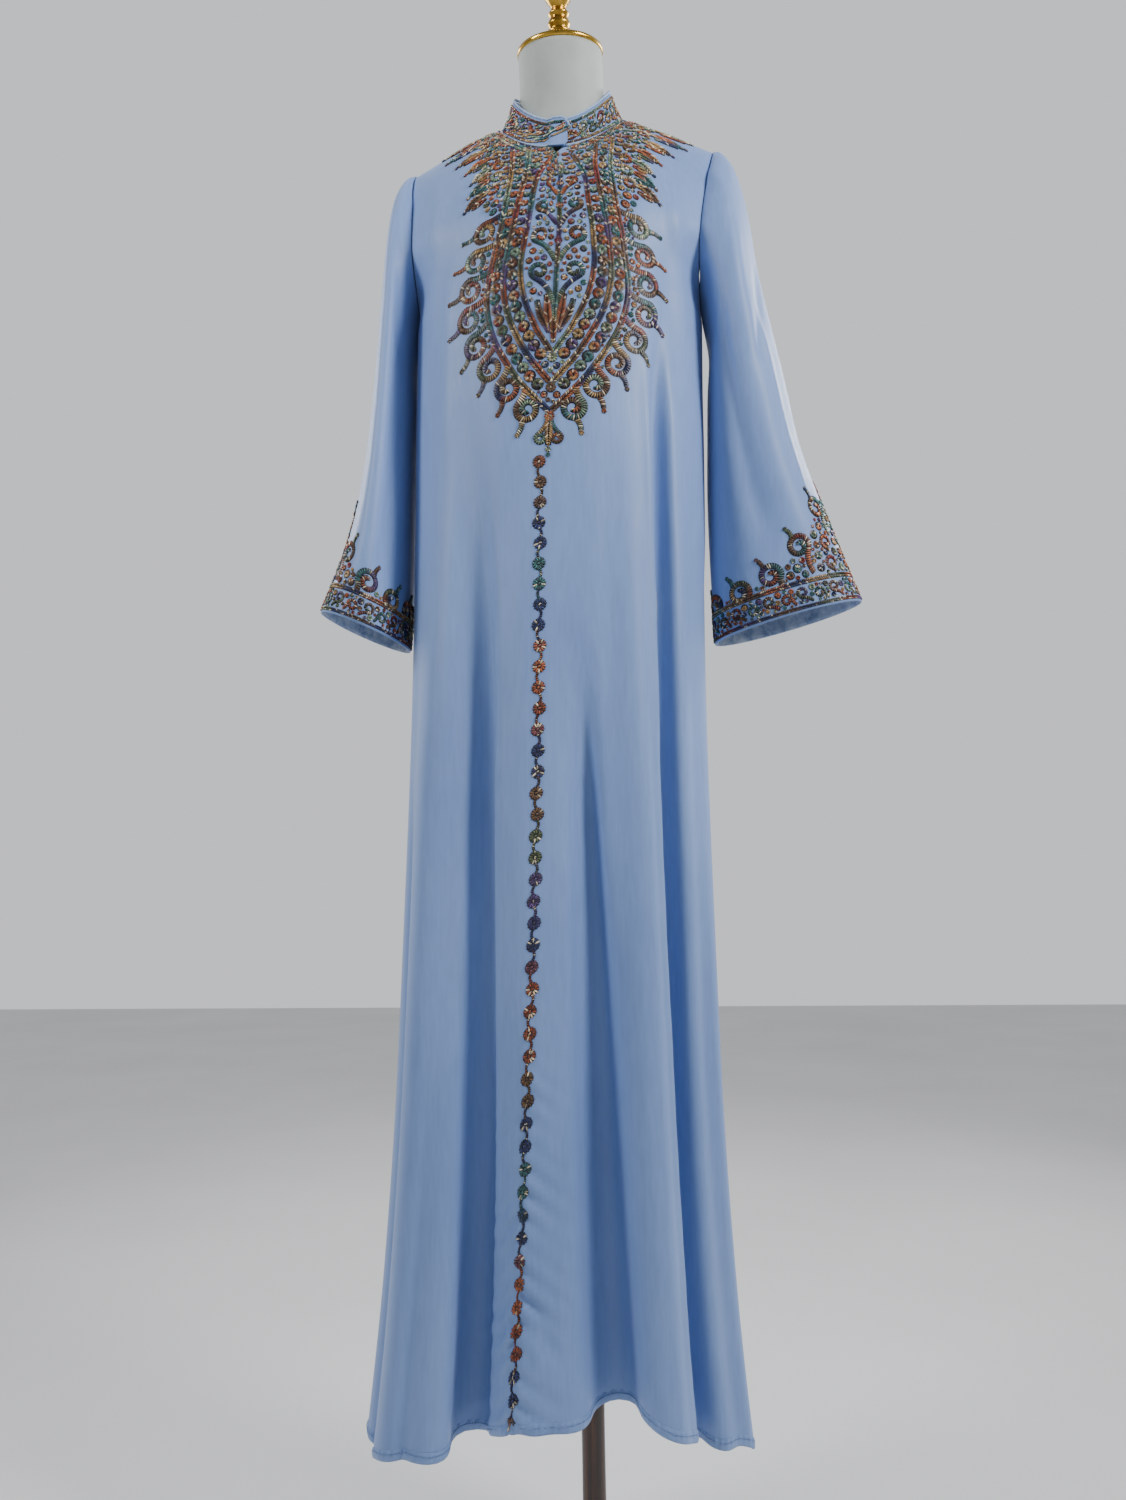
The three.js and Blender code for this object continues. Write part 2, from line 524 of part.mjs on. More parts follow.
// Cord along the collar's top edge and round its lapped end.
function collarPiping() {
  const rise = PIPING_RADIUS + COLLAR.pipingGap;
  const edge = collarAngles().map((angle) => {
    const { high } = collarHeights(angle);
    const point = collarPoint(angle, high);
    const normal = normalAt(collarPoint, angle, high, 1);
    const up = collarPoint(angle, high + UP_STEP).sub(point).normalize();
    const round = clamp((angle - COLLAR.roundFrom) / (COLLAR.end - COLLAR.roundFrom), 0, 1);
    const past = new THREE.Vector3(Math.cos(rad(angle)), Math.sin(rad(angle)), 0);
    point.addScaledVector(normal, -COLLAR_WALL / 2);
    return point.addScaledVector(up, rise * (1 - 0.5 * round)).addScaledVector(past, rise * round);
  });
  const path = new THREE.CatmullRomCurve3(edge);
  const section = new THREE.Shape().absarc(0, 0, PIPING_RADIUS, 0, 2 * Math.PI);
  return new THREE.ExtrudeGeometry(section, {
    steps: PIPING_STEPS, curveSegments: 3, extrudePath: path, bevelEnabled: false,
  });
}

// ---------- yoke embroidery ----------
function solidOf(geometry) {
  const bare = geometry.clone();
  bare.deleteAttribute('normal');
  bare.deleteAttribute('uv');
  const merged = mergeVertices(bare, 1e-4);
  return new wasm.Manifold(new wasm.Mesh({
    numProp: 3,
    vertProperties: merged.attributes.position.array,
    triVerts: Uint32Array.from(merged.index.array),
  }));
}

function geometryOf(solid) {
  const mesh = solid.getMesh();
  const geometry = new THREE.BufferGeometry();
  geometry.setAttribute('position', new THREE.BufferAttribute(mesh.vertProperties, 3));
  geometry.setIndex(new THREE.BufferAttribute(mesh.triVerts, 1));
  geometry.computeVertexNormals();
  return geometry;
}

// Half of the outline with pointed teeth between its corners, from the shoulder to the tip.
function yokeSide(side) {
  const centre = new THREE.Vector2(YOKE.middleX, YOKE.middleZ);
  const corners = [...YOKE_OUTLINE.map(({ x, z }) => new THREE.Vector2(YOKE.middleX + side * x, z)),
    new THREE.Vector2(YOKE.tipX, YOKE.tipZ)];
  const points = [corners[0]];
  for (let i = 1; i < corners.length; i += 1) {
    for (let k = 1; k <= YOKE.teeth; k += 1) {
      const point = corners[i - 1].clone().lerp(corners[i], k / YOKE.teeth);
      const inward = centre.clone().sub(point).normalize();
      points.push(k === YOKE.teeth ? point : point.addScaledVector(inward, YOKE.toothDepth));
    }
  }
  return points;
}

function yokeOutline() {
  const neck = steps(86, 7, 10).map((angle) => {
    const { x, z } = ovalPoint(NECKLINE, angle);
    return new THREE.Vector2(x - DRIFT.top, z - YOKE.inset);
  });
  const slitFoot = chestPoint(0, SLIT_SHARE, -1).z - YOKE.inset;
  const left = neck.map(({ x, y }) => new THREE.Vector2(DRIFT.top - x, y));
  const right = neck.map(({ x, y }) => new THREE.Vector2(DRIFT.top + x, y));
  return [
    ...yokeSide(1),
    ...yokeSide(-1).reverse().slice(1),
    ...left,
    new THREE.Vector2(DRIFT.top, slitFoot),
    ...right.reverse(),
  ];
}

// The front panel's own points, moved out, cut to the outline.
function yokeEmbroidery() {
  const firstRow = SKIRT_ROWS.findIndex((v) => v > YOKE.startShare);
  const region = frontGrid.slice(firstRow).map((row) => row.slice(YOKE.sideColumns, -YOKE.sideColumns));
  const skin = wallBetween(
    movedOut(region, YOKE.lift + YOKE.thickness),
    movedOut(region, YOKE.lift),
    false,
  );
  const outline = new THREE.Shape(yokeOutline());
  const prism = new THREE.ExtrudeGeometry(outline, { depth: YOKE.cutterDepth, bevelEnabled: false });
  prism.rotateX(Math.PI / 2);
  return geometryOf(solidOf(skin).intersect(solidOf(prism)));
}

// ---------- chain of rosettes down the centre front ----------
// A point beside the centre column, on the panel's own facets, and moved out.
function besideCentre(z, across, out) {
  const neighbour = CENTRE_COLUMN + (across < 0 ? -1 : 1);
  let j = 0;
  while (j < frontGrid.length - 2 && frontGrid[j + 1][CENTRE_COLUMN].point.z < z) j += 1;
  const below = frontGrid[j][CENTRE_COLUMN].point.z;
  const above = frontGrid[j + 1][CENTRE_COLUMN].point.z;
  const t = (z - below) / (above - below);
  const along = (i) => {
    const a = frontGrid[j][i];
    const b = frontGrid[j + 1][i];
    const normal = a.normal.clone().lerp(b.normal, t).normalize();
    return { point: a.point.clone().lerp(b.point, t), normal };
  };
  const here = along(CENTRE_COLUMN);
  const there = along(neighbour);
  const share = Math.abs(across) / here.point.distanceTo(there.point);
  return here.point.lerp(there.point, share).addScaledVector(here.normal, out);
}

function frontChain() {
  const foot = frontSurface(0, 0).z + CHAIN.hemMargin;
  const heights = steps(foot, CHAIN.topZ, CHAIN.rosettes * 2);
  const layer = (out) => heights.map((z, k) => {
    const half = k % 2 ? CHAIN.wide : CHAIN.narrow;
    return [-half, 0, half].map((across) => besideCentre(z, across, out));
  });
  return wallBetween(layer(CHAIN.lift + CHAIN.thickness), layer(CHAIN.lift), false);
}

// ---------- dress form ----------
// Depth of a panel's outside at a place, found by halving the panel's width.
function panelDepth(x, z, face) {
  let low = -1;
  let high = 1;
  const pointAt = (u) => {
    const top = topEdge(u, face).z;
    return chestPoint(u, clamp((z - UNDERARM_Z) / (top - UNDERARM_Z), 0, 1), face);
  };
  for (let k = 0; k < WIDTH_HALVINGS; k += 1) {
    const middle = (low + high) / 2;
    if (pointAt(middle).x < x) low = middle;
    else high = middle;
  }
  return pointAt(low).y;
}

// Half the width of the form's shoulder at a height, following the shoulder seam just under the cloth.
function shoulderReach(z) {
  const clear = WALL + RIDGE_CLEARANCE;
  const share = (SIDE_NECK_Z - clear - z) / (SIDE_NECK_Z - SHOULDER_TIP.z);
  return lerp(NECKLINE.halfWidth, SHOULDER_TIP.x, share);
}

function formRing(z, turns) {
  const get = (column) => sample(FORM_SECTIONS, 'z', column, z);
  const clear = WALL + FORM_CLEARANCE;
  const halfWidth = z > SHOULDER_RIDGE_Z ? Math.min(get('halfWidth'), shoulderReach(z)) : get('halfWidth');
  const squareness = lerp(1, RIDGE_SQUARENESS, smooth((z - UNDERARM_Z) / RIDGE_BLEND));
  return turns.map((angle) => {
    const x = get('shiftX') + halfWidth * Math.sin(rad(angle));
    const cos = Math.cos(rad(angle));
    if (z <= UNDERARM_Z) return new THREE.Vector3(x, get('shiftY') - get('halfDepth') * cos, z);
    const front = panelDepth(x, z + clear, -1) + clear * FORM_SLOPE;
    const back = panelDepth(x, z + clear, 1) - clear * FORM_SLOPE;
    const half = Math.min(get('halfDepth'), Math.max((back - front) / 2, RIDGE_HALF_DEPTH));
    const held = back - front < 2 * half;
    const middle = held ? (front + back) / 2 : clamp(get('shiftY'), front + half, back - half);
    const across = Math.sign(cos) * Math.abs(cos) ** squareness;
    return new THREE.Vector3(x, middle - half * across, z);
  });
}

function neckRing({ z, radius, y, tilt }, turns) {
  const centre = new THREE.Vector3(DRIFT.top, y, z);
  return turns.map((angle) => {
    const flat = new THREE.Vector3(radius * Math.sin(rad(angle)), -radius * Math.cos(rad(angle)), 0);
    return flat.applyAxisAngle(new THREE.Vector3(1, 0, 0), rad(tilt)).add(centre);
  });
}

// A closed solid through rings of equal length, with a point closing each end.
function loft(rings) {
  const count = rings[0].length;
  const middle = (ring) => ring.reduce((sum, p) => sum.add(p), new THREE.Vector3()).divideScalar(count);
  const points = [...rings.flat(), middle(rings[0]), middle(rings[rings.length - 1])];
  const triangles = [];
  for (let j = 0; j < rings.length - 1; j += 1) {
    for (let i = 0; i < count; i += 1) {
      const next = (i + 1) % count;
      triangles.push([j * count + i, j * count + next, (j + 1) * count + next]);
      triangles.push([j * count + i, (j + 1) * count + next, (j + 1) * count + i]);
    }
  }
  for (let i = 0; i < count; i += 1) {
    const next = (i + 1) % count;
    const top = (rings.length - 1) * count;
    triangles.push([next, i, points.length - 2], [top + i, top + next, points.length - 1]);
  }
  return meshFromTriangles(points, triangles);
}

const FORM_TURNS = 28;
const FORM_RING_HEIGHTS = [
  950, 962, 1010, 1080, 1150, 1220, 1280, 1335, 1385,
  1430, 1475, 1520, 1555, 1580, 1598, 1612, 1622, 1630,
];

function dressForm() {
  const turns = steps(0, 360, FORM_TURNS).slice(0, -1);
  const torso = loft(FORM_RING_HEIGHTS.map((z) => formRing(z, turns)));
  const neck = loft(NECK_SECTIONS.map((section) => neckRing(section, turns)));
  return geometryOf(solidOf(torso).add(solidOf(neck)));
}

// Brass cap: a rim, a shallow dome, a beaded stem and a ball, turned about its own axis.
const CAP_PROFILE = [
  { radius: 53, height: 0 }, { radius: 53.5, height: 4 }, { radius: 52, height: 7 },
  { radius: 38, height: 14 }, { radius: 22, height: 20 }, { radius: 15, height: 24 },
  { radius: 16, height: 28 }, { radius: 12, height: 31 }, { radius: 14, height: 38 },
  { radius: 11, height: 45 }, { radius: 13, height: 50 }, { radius: 9, height: 56 },
  { radius: 13, height: 63 }, { radius: 18, height: 74 }, { radius: 16, height: 86 },
  { radius: 9, height: 94 },
];
const CAP_TOP_RISE = 3;          // from the profile's last point to the top of the finial

function neckCap() {
  const profile = CAP_PROFILE.map(({ radius, height }) => new THREE.Vector2(radius, height));
  profile.unshift(new THREE.Vector2(0, 0));
  profile.push(new THREE.Vector2(0, CAP_PROFILE[CAP_PROFILE.length - 1].height + CAP_TOP_RISE));
  return new THREE.LatheGeometry(profile, 20).rotateX(Math.PI / 2);
}

function standBase() {
  const { radius, height, edge } = BASE;
  const profile = [[0, 0], [radius, 0], [radius, height - edge], [radius - edge, height], [0, height]];
  return new THREE.LatheGeometry(profile.map(([x, y]) => new THREE.Vector2(x, y)), 40).rotateX(Math.PI / 2);
}

function standPole() {
  const length = GARMENT_RISE + FORM_BOTTOM_Z - BASE.height - 2 * SEAM_GAP;
  const pole = new THREE.CylinderGeometry(POLE_RADIUS, POLE_RADIUS, length, 16);
  return pole.rotateX(Math.PI / 2).translate(0, 0, BASE.height + SEAM_GAP + length / 2);
}

// ---------- materials and assembly ----------
function material(color, roughness, metalness = 0) {
  return new THREE.MeshStandardMaterial({ color, roughness, metalness });
}
const CLOTH = material('#8fa3c6', 0.55);
const THREAD = material('#7a6350', 0.5, 0.3);
const PIPING = material('#9db8dc', 0.5);
const FORM_COVER = material('#e8e6e2', 0.8);
const BRASS = material('#a98146', 0.35, 0.9);
const WOOD = material('#4a3020', 0.5);

const abaya = new THREE.Group();
const raised = new THREE.Group();
raised.position.z = GARMENT_RISE;
abaya.add(raised);

function place(group, name, geometry, finish) {
  const mesh = new THREE.Mesh(geometry, finish);
  mesh.name = name;
  group.add(mesh);
  return mesh;
}

place(raised, 'front_panel', panel(frontGrid), CLOTH);
place(raised, 'back_panel', panel(backGrid), CLOTH);
place(raised, 'sleeve_left', sleeve(-1, SLEEVE_LEFT), CLOTH);
place(raised, 'sleeve_right', sleeve(1, SLEEVE_RIGHT), CLOTH);
place(raised, 'collar', collar(), THREAD);
place(raised, 'collar_piping', collarPiping(), PIPING);
place(raised, 'yoke_embroidery', yokeEmbroidery(), THREAD);
place(raised, 'cuff_embroidery_left', cuffBand(-1, SLEEVE_LEFT), THREAD);
place(raised, 'cuff_embroidery_right', cuffBand(1, SLEEVE_RIGHT), THREAD);
place(raised, 'front_chain', frontChain(), THREAD);
place(raised, 'dress_form', dressForm(), FORM_COVER);

const neckTop = NECK_SECTIONS[NECK_SECTIONS.length - 1];
const cap = place(raised, 'neck_cap', neckCap(), BRASS);
cap.rotation.x = rad(neckTop.tilt);
cap.position.set(0, 0, SEAM_GAP).applyEuler(cap.rotation);
cap.position.add(new THREE.Vector3(DRIFT.top, neckTop.y, neckTop.z));

place(abaya, 'stand_pole', standPole(), WOOD);
place(abaya, 'stand_base', standBase(), WOOD);

export default abaya;
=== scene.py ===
# An embroidered abaya hanging on a limbless dress form, dressed over its CAD frame.
# Metres, +Z up, the garment's front faces -Y, +X is to the viewer's right.
# The tables repeat the part's own named sizes, with heights measured from the floor.
import math

import bpy
import numpy as np
from mathutils import Matrix, Vector
from mathutils.bvhtree import BVHTree


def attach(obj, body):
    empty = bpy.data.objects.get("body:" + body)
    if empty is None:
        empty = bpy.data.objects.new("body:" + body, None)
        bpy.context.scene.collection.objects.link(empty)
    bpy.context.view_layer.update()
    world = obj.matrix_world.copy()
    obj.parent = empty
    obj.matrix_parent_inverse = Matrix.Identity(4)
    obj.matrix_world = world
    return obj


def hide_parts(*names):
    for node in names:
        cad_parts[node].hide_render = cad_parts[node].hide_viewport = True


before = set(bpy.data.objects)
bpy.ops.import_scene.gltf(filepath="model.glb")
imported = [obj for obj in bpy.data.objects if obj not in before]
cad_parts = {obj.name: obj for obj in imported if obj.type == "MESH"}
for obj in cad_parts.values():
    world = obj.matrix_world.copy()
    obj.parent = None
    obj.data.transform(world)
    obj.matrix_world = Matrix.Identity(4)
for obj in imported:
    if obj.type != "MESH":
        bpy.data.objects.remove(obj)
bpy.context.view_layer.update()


# ---------- camera: the photograph's viewing angle ----------
CAMERA_AZIMUTH = math.radians(6.0)     # the garment is turned this far from the line of sight
CAMERA_DISTANCE = 1.318
CAMERA_HEIGHT = 0.83
CAMERA_ASIDE = -0.021
CAMERA_PITCH = math.radians(6.4)
CAMERA_ROLL = math.radians(0.95)
CAMERA_LENS = 27.05                    # on the default 36 mm sensor


def make_camera():
    cos, sin = math.cos(CAMERA_AZIMUTH), math.sin(CAMERA_AZIMUTH)
    right = Vector((cos, sin, 0))
    level = Vector((-sin, cos, 0))
    forward = (level * math.cos(CAMERA_PITCH) + Vector((0, 0, math.sin(CAMERA_PITCH)))).normalized()
    up = right.cross(forward)
    turn_cos, turn_sin = math.cos(CAMERA_ROLL), math.sin(CAMERA_ROLL)
    rolled_right = right * turn_cos - up * turn_sin
    rolled_up = right * turn_sin + up * turn_cos
    data = bpy.data.cameras.new("camera")
    data.lens = CAMERA_LENS
    camera = bpy.data.objects.new("camera", data)
    bpy.context.scene.collection.objects.link(camera)
    place = right * CAMERA_ASIDE - level * CAMERA_DISTANCE + Vector((0, 0, CAMERA_HEIGHT))
    turn = Matrix((rolled_right, rolled_up, -forward)).transposed().to_4x4()
    camera.matrix_world = Matrix.Translation(place) @ turn
    bpy.context.scene.camera = camera


make_camera()


# ---------- the part's sizes ----------
def table(names, rows):
    """Columns of a table of sizes, as arrays under their names."""
    return {name: np.array(column) for name, column in zip(names.split(), zip(*rows))}


UNDERARM_Z = 1.490
HEM_Z = 0.252
SHOULDER_TIP = (0.185, 0.002, 1.712)
NECKLINE = dict(half_width=0.077, y=-0.006, front=0.064, back=0.060, z=1.727, drop=0.038, side_rise=0.029)
COLLAR_TOP = dict(half_width=0.061, y=-0.010, front=0.049, back=0.054, z=1.771, drop=0.040, side_rise=0.026)
COLLAR_WALL = 0.0026
NECK_SHARE = 0.36
SLIT_SHARE = 0.9
SHOULDER_ROUNDNESS = 1.6
ROUNDED_FROM_SHARE = 0.576
ARMHOLE_TURN = 32
ARMHOLE_TURN_SHARE = 0.42
ARMHOLE_HOLLOW = 0.009
CHEST_CURVE = dict(side=1.15, side_power=1.4, front_power=2.1, back_power=2.6)
SEAM_GAP = 0.0003
SLEEVE_HEAD_SHARE = 0.16
SLEEVE_SEAM_GAP = 0.0007
DRIFT = dict(top=-0.008, hem=-0.038, top_z=1.760, hem_z=0.220, power=0.7)
FORM_BOTTOM_Z = 1.070
POLE_RADIUS = 0.013
BASE = dict(radius=0.155, height=0.012, edge=0.004, chamfer=0.0015)
CLOTH = 0.0012                         # thickness of the cloth as dressed
NORMAL_STEP = 1e-3                     # how far apart a surface is felt for its normal

SECTIONS = table("z half_width front back twist", [
    (0.21, 0.206, 0.126, 0.128, -12),
    (0.36, 0.193, 0.126, 0.124, -8.5),
    (0.55, 0.183, 0.128, 0.120, -6),
    (0.77, 0.178, 0.130, 0.116, -3.5),
    (1.02, 0.174, 0.131, 0.113, -2),
    (1.22, 0.173, 0.133, 0.112, -2),
    (1.37, 0.174, 0.139, 0.114, -1.5),
    (1.49, 0.174, 0.141, 0.118, 0),
])
# Vertical folds: angle at the top and at the hem and half width, in degrees from the front towards
# +X, then height (a trough is negative), where it starts above the floor, and lean to the side.
FOLDS = [
    ("left_front", -46, -52, 22, 0.026, 1.300, 0.009),
    ("left_edge", -36, -37, 9, 0.018, 0.700, 0.016),
    ("left_trough", -29, -27, 15, -0.027, 1.360, 0),
    ("centre", -6, -8, 20, 0.013, 1.240, 0),
    ("right_trough", 8, 19, 14, -0.024, 1.100, 0),
    ("right_front", 33, 36, 15, 0.024, 1.350, 0.008),
    ("right_pleat", 45, 54, 9, -0.026, 1.465, 0),
    ("right_side", 74, 76, 17, 0.012, 1.140, 0),
    ("right_back_in", 102, 102, 17, -0.020, 1.120, 0),
    ("right_back", 124, 126, 20, 0.022, 1.300, -0.005),
    ("back_in_right", 146, 149, 17, -0.022, 1.240, 0),
    ("back_middle", 170, 172, 20, 0.020, 1.350, 0.006),
    ("back_in_left", 197, 196, 17, -0.022, 1.180, 0),
    ("left_back", 219, 219, 20, 0.023, 1.310, 0.005),
    ("left_back_in", 243, 242, 17, -0.020, 1.200, 0),
    ("left_side", 265, 265, 19, 0.013, 1.140, 0),
    ("left_side_in", 288, 286, 12, -0.011, 1.020, 0),
]
HEM = table("angle z", [
    (-180, 0.232), (-130, 0.220), (-92, 0.212), (-70, 0.208), (-58, 0.229), (-50, 0.236), (-38, 0.244),
    (-28, 0.250), (-20, 0.264), (-10, 0.277), (10, 0.278), (24, 0.283), (34, 0.270),
    (46, 0.255), (56, 0.238), (70, 0.233), (84, 0.218), (130, 0.220), (180, 0.232),
])
SLEEVE_COLUMNS = "along inner_x inner_z outer_x outer_z half_depth middle_y"
SLEEVE_RIGHT = [
    (0.10, 0.170, 1.472, 0.200, 1.700, 0.077, 0.002),
    (0.22, 0.172, 1.446, 0.219, 1.640, 0.079, 0.005),
    (0.36, 0.169, 1.404, 0.234, 1.540, 0.078, 0.008),
    (0.50, 0.167, 1.348, 0.254, 1.440, 0.074, 0.010),
    (0.66, 0.165, 1.272, 0.277, 1.332, 0.066, 0.012),
    (0.83, 0.166, 1.186, 0.310, 1.232, 0.055, 0.014),
    (1.00, 0.169, 1.100, 0.341, 1.144, 0.047, 0.014),
]
SLEEVE_LEFT = [
    (0.10, 0.185, 1.472, 0.199, 1.698, 0.077, 0.0),
    (0.22, 0.187, 1.446, 0.214, 1.635, 0.080, 0.0),
    (0.36, 0.187, 1.404, 0.224, 1.540, 0.081, 0.0),
    (0.50, 0.189, 1.348, 0.233, 1.430, 0.082, 0.0),
    (0.66, 0.191, 1.272, 0.246, 1.320, 0.082, -0.002),
    (0.83, 0.193, 1.186, 0.267, 1.226, 0.081, -0.006),
    (1.00, 0.197, 1.104, 0.298, 1.146, 0.079, -0.012),
]


# ---------- curves and surfaces ----------
def sample(rows, key, column, at):
    """One column of a table at given places, on a smooth curve through its rows."""
    keys, values = rows[key], rows[column]
    last = len(keys) - 1
    place = np.clip(at, keys[0], keys[-1])
    i = np.clip(np.searchsorted(keys, place, side="left") - 1, 0, last - 1)
    before, after = np.maximum(np.arange(last + 1) - 1, 0), np.minimum(np.arange(last + 1) + 1, last)
    slope = (values[after] - values[before]) / (keys[after] - keys[before])
    span = keys[i + 1] - keys[i]
    t = (place - keys[i]) / span
    rise = values[i + 1] - values[i]
    bend = slope[i] * span - rise
    unbend = rise - slope[i + 1] * span
    return values[i] + rise * t + t * (1 - t) * (bend * (1 - t) + unbend * t)


def smooth(x):
    x = np.clip(x, 0, 1)
    return x * x * (3 - 2 * x)


def lerp(a, b, t):
    return a + (b - a) * t


def wrapped(angle):
    """The same angle within half a turn of 0."""
    return angle - 360 * np.round(angle / 360)


def distance_run(path):
    """Distance run along a path at each of its points."""
    return np.concatenate([[0], np.cumsum(np.linalg.norm(np.diff(path, axis=0), axis=1))])


def stack(x, y, z):
    return np.stack(np.broadcast_arrays(x, y, z), axis=-1)


def unit(vectors):
    return vectors / np.maximum(np.linalg.norm(vectors, axis=-1, keepdims=True), 1e-12)


def drift_x(z):
    up = np.clip((z - DRIFT["hem_z"]) / (DRIFT["top_z"] - DRIFT["hem_z"]), 0, 1)
    return lerp(DRIFT["top"], DRIFT["hem"], (1 - up) ** DRIFT["power"])


FOLD_GROWTH = dict(top_width=0.8, power=0.8, past_hem=1.05)


def fold_at(angle, z):
    """How far the folds push a point of the body out and to the side."""
    out, side = np.zeros(np.shape(angle)), np.zeros(np.shape(angle))
    for _, top_angle, hem_angle, width, height, start_z, lean in FOLDS:
        down = np.maximum((start_z - z) / (start_z - HEM_Z), 0)
        away = wrapped(angle - lerp(top_angle, hem_angle, down))
        reach = width * lerp(FOLD_GROWTH["top_width"], 1, down)
        crest = np.where(np.abs(away) < reach, (1 + np.cos(np.pi * away / reach)) / 2, 0)
        growth = np.minimum(down, FOLD_GROWTH["past_hem"]) ** FOLD_GROWTH["power"]
        out += height * growth * crest
        side += lean * growth * crest * crest
    return out, side


def body_point(angle, z):
    half_width = sample(SECTIONS, "z", "half_width", z)
    cos, sin = np.cos(np.radians(angle)), np.sin(np.radians(angle))
    depth = np.where(cos > 0, sample(SECTIONS, "z", "front", z), sample(SECTIONS, "z", "back", z))
    nx, ny = sin / half_width, -cos / depth
    length = np.hypot(nx, ny)
    nx, ny = nx / length, ny / length
    out, side = fold_at(angle, z)
    x = drift_x(z) + half_width * sin + nx * out - ny * side
    return stack(x, -depth * cos + ny * out + nx * side, z)


def oval_point(oval, angle):
    cos, sin = np.cos(np.radians(angle)), np.sin(np.radians(angle))
    depth = np.where(cos > 0, oval["front"], oval["back"])
    z = oval["z"] - oval["drop"] * cos + oval["side_rise"] * sin * sin
    return stack(DRIFT["top"] + oval["half_width"] * sin, oval["y"] - depth * cos, z)


def top_edge(u, face):
    """Top edge of a panel: the neckline, then the shoulder seam beyond it."""
    side = np.where(u < 0, -1.0, 1.0)
    share = np.abs(u)
    angle = 90 * np.minimum(share / NECK_SHARE, 1)
    neckline = oval_point(NECKLINE, side * (angle if face < 0 else 180 - angle))
    neck = oval_point(NECKLINE, side * 90)
    tip = stack(DRIFT["top"] + side * SHOULDER_TIP[0], SHOULDER_TIP[1], SHOULDER_TIP[2])
    t = ((share - NECK_SHARE) / (1 - NECK_SHARE))[..., None]
    return np.where((share < NECK_SHARE)[..., None], neckline, lerp(neck, tip, t))


def chest_point(u, t, face):
    """Panel above the underarm: t runs from the underarm (0) to the top edge (1)."""
    u, t = np.broadcast_arrays(np.asarray(u, float), np.asarray(t, float))
    share, up = np.abs(u), np.clip(t, 0, 1)
    turn = 90 - ARMHOLE_TURN * smooth(up / ARMHOLE_TURN_SHARE)
    angle = np.radians(u * turn)
    top = top_edge(u, face)
    section = sample(SECTIONS, "z", "half_width", UNDERARM_Z)
    depth = sample(SECTIONS, "z", "front" if face < 0 else "back", UNDERARM_Z)
    armhole_x = section - ARMHOLE_HOLLOW * np.sin(np.pi * up)
    low_x = drift_x(UNDERARM_Z) + armhole_x * np.sin(angle) / np.sin(np.radians(turn))
    low_y = face * depth * np.cos(angle)
    roundness = lerp(CHEST_CURVE["side"], SHOULDER_ROUNDNESS, smooth(share / ROUNDED_FROM_SHARE))
    power = CHEST_CURVE["front_power"] if face < 0 else CHEST_CURVE["back_power"]
    fall = (1 - up ** power) ** (1 / roundness)
    x = lerp(low_x, top[..., 0], up ** CHEST_CURVE["side_power"])
    return stack(x, lerp(top[..., 1], low_y, fall), lerp(UNDERARM_Z, top[..., 2], t))


def panel_point(u, v, face):
    """A panel: u across from -1 to 1, v from 0 at the hem, 1 at the underarm, to 2 at the top."""
    u, v = np.broadcast_arrays(np.asarray(u, float), np.asarray(v, float))
    base = 90 * u if face < 0 else 180 - 90 * u
    at = base + SECTIONS["twist"][0]
    hem = sample(HEM, "angle", "z", wrapped(at))
    z = lerp(hem, UNDERARM_Z, np.minimum(v, 1))
    skirt = body_point(base + sample(SECTIONS, "z", "twist", z), z)
    return np.where((v > 1)[..., None], chest_point(u, np.maximum(v - 1, 0), face), skirt)


def sleeve_edge(turn, side):
    """The armhole that the sleeve is sewn to, at a turn round the sleeve."""
    t = (1 + np.cos(np.radians(turn))) / 2
    front = chest_point(np.full(np.shape(t), float(side)), t, -1)
    back = chest_point(np.full(np.shape(t), float(side)), t, 1)
    return np.where((np.sin(np.radians(turn)) >= 0)[..., None], front, back)


def sleeve_rows(side, rows):
    """The sleeve's table with a first row that matches the armhole."""
    low, high = sleeve_edge(np.array([180.0, 0.0]), side)
    head = (0, side * (low[0] - DRIFT["top"]), low[2], side * (high[0] - DRIFT["top"]), high[2], *rows[0][5:])
    return table(SLEEVE_COLUMNS, [head, *rows])


def sleeve_point(turn, s, side, rows):
    """turn 0 is the sleeve's outer line, 90 its front; s runs from the armhole (0) to the cuff (1)."""
    turn, s = np.broadcast_arrays(np.asarray(turn, float), np.asarray(s, float))
    get = lambda column: sample(rows, "along", column, s)
    across = np.cos(np.radians(turn))
    x = DRIFT["top"] + side * lerp(get("inner_x"), get("outer_x"), (1 + across) / 2)
    y = get("middle_y") - get("half_depth") * np.sin(np.radians(turn))
    z = lerp(get("inner_z"), get("outer_z"), (1 + across) / 2)
    start = sleeve_edge(turn, side) + np.array([side * SLEEVE_SEAM_GAP, 0, 0])
    return lerp(start, stack(x, y, z), smooth(s / SLEEVE_HEAD_SHARE)[..., None])


def normals_of(surface, a, b, outward):
    along_a = surface(a + NORMAL_STEP, b) - surface(a - NORMAL_STEP, b)
    along_b = surface(a, b + NORMAL_STEP) - surface(a, b - NORMAL_STEP)
    return unit(np.cross(along_a, along_b)) * outward


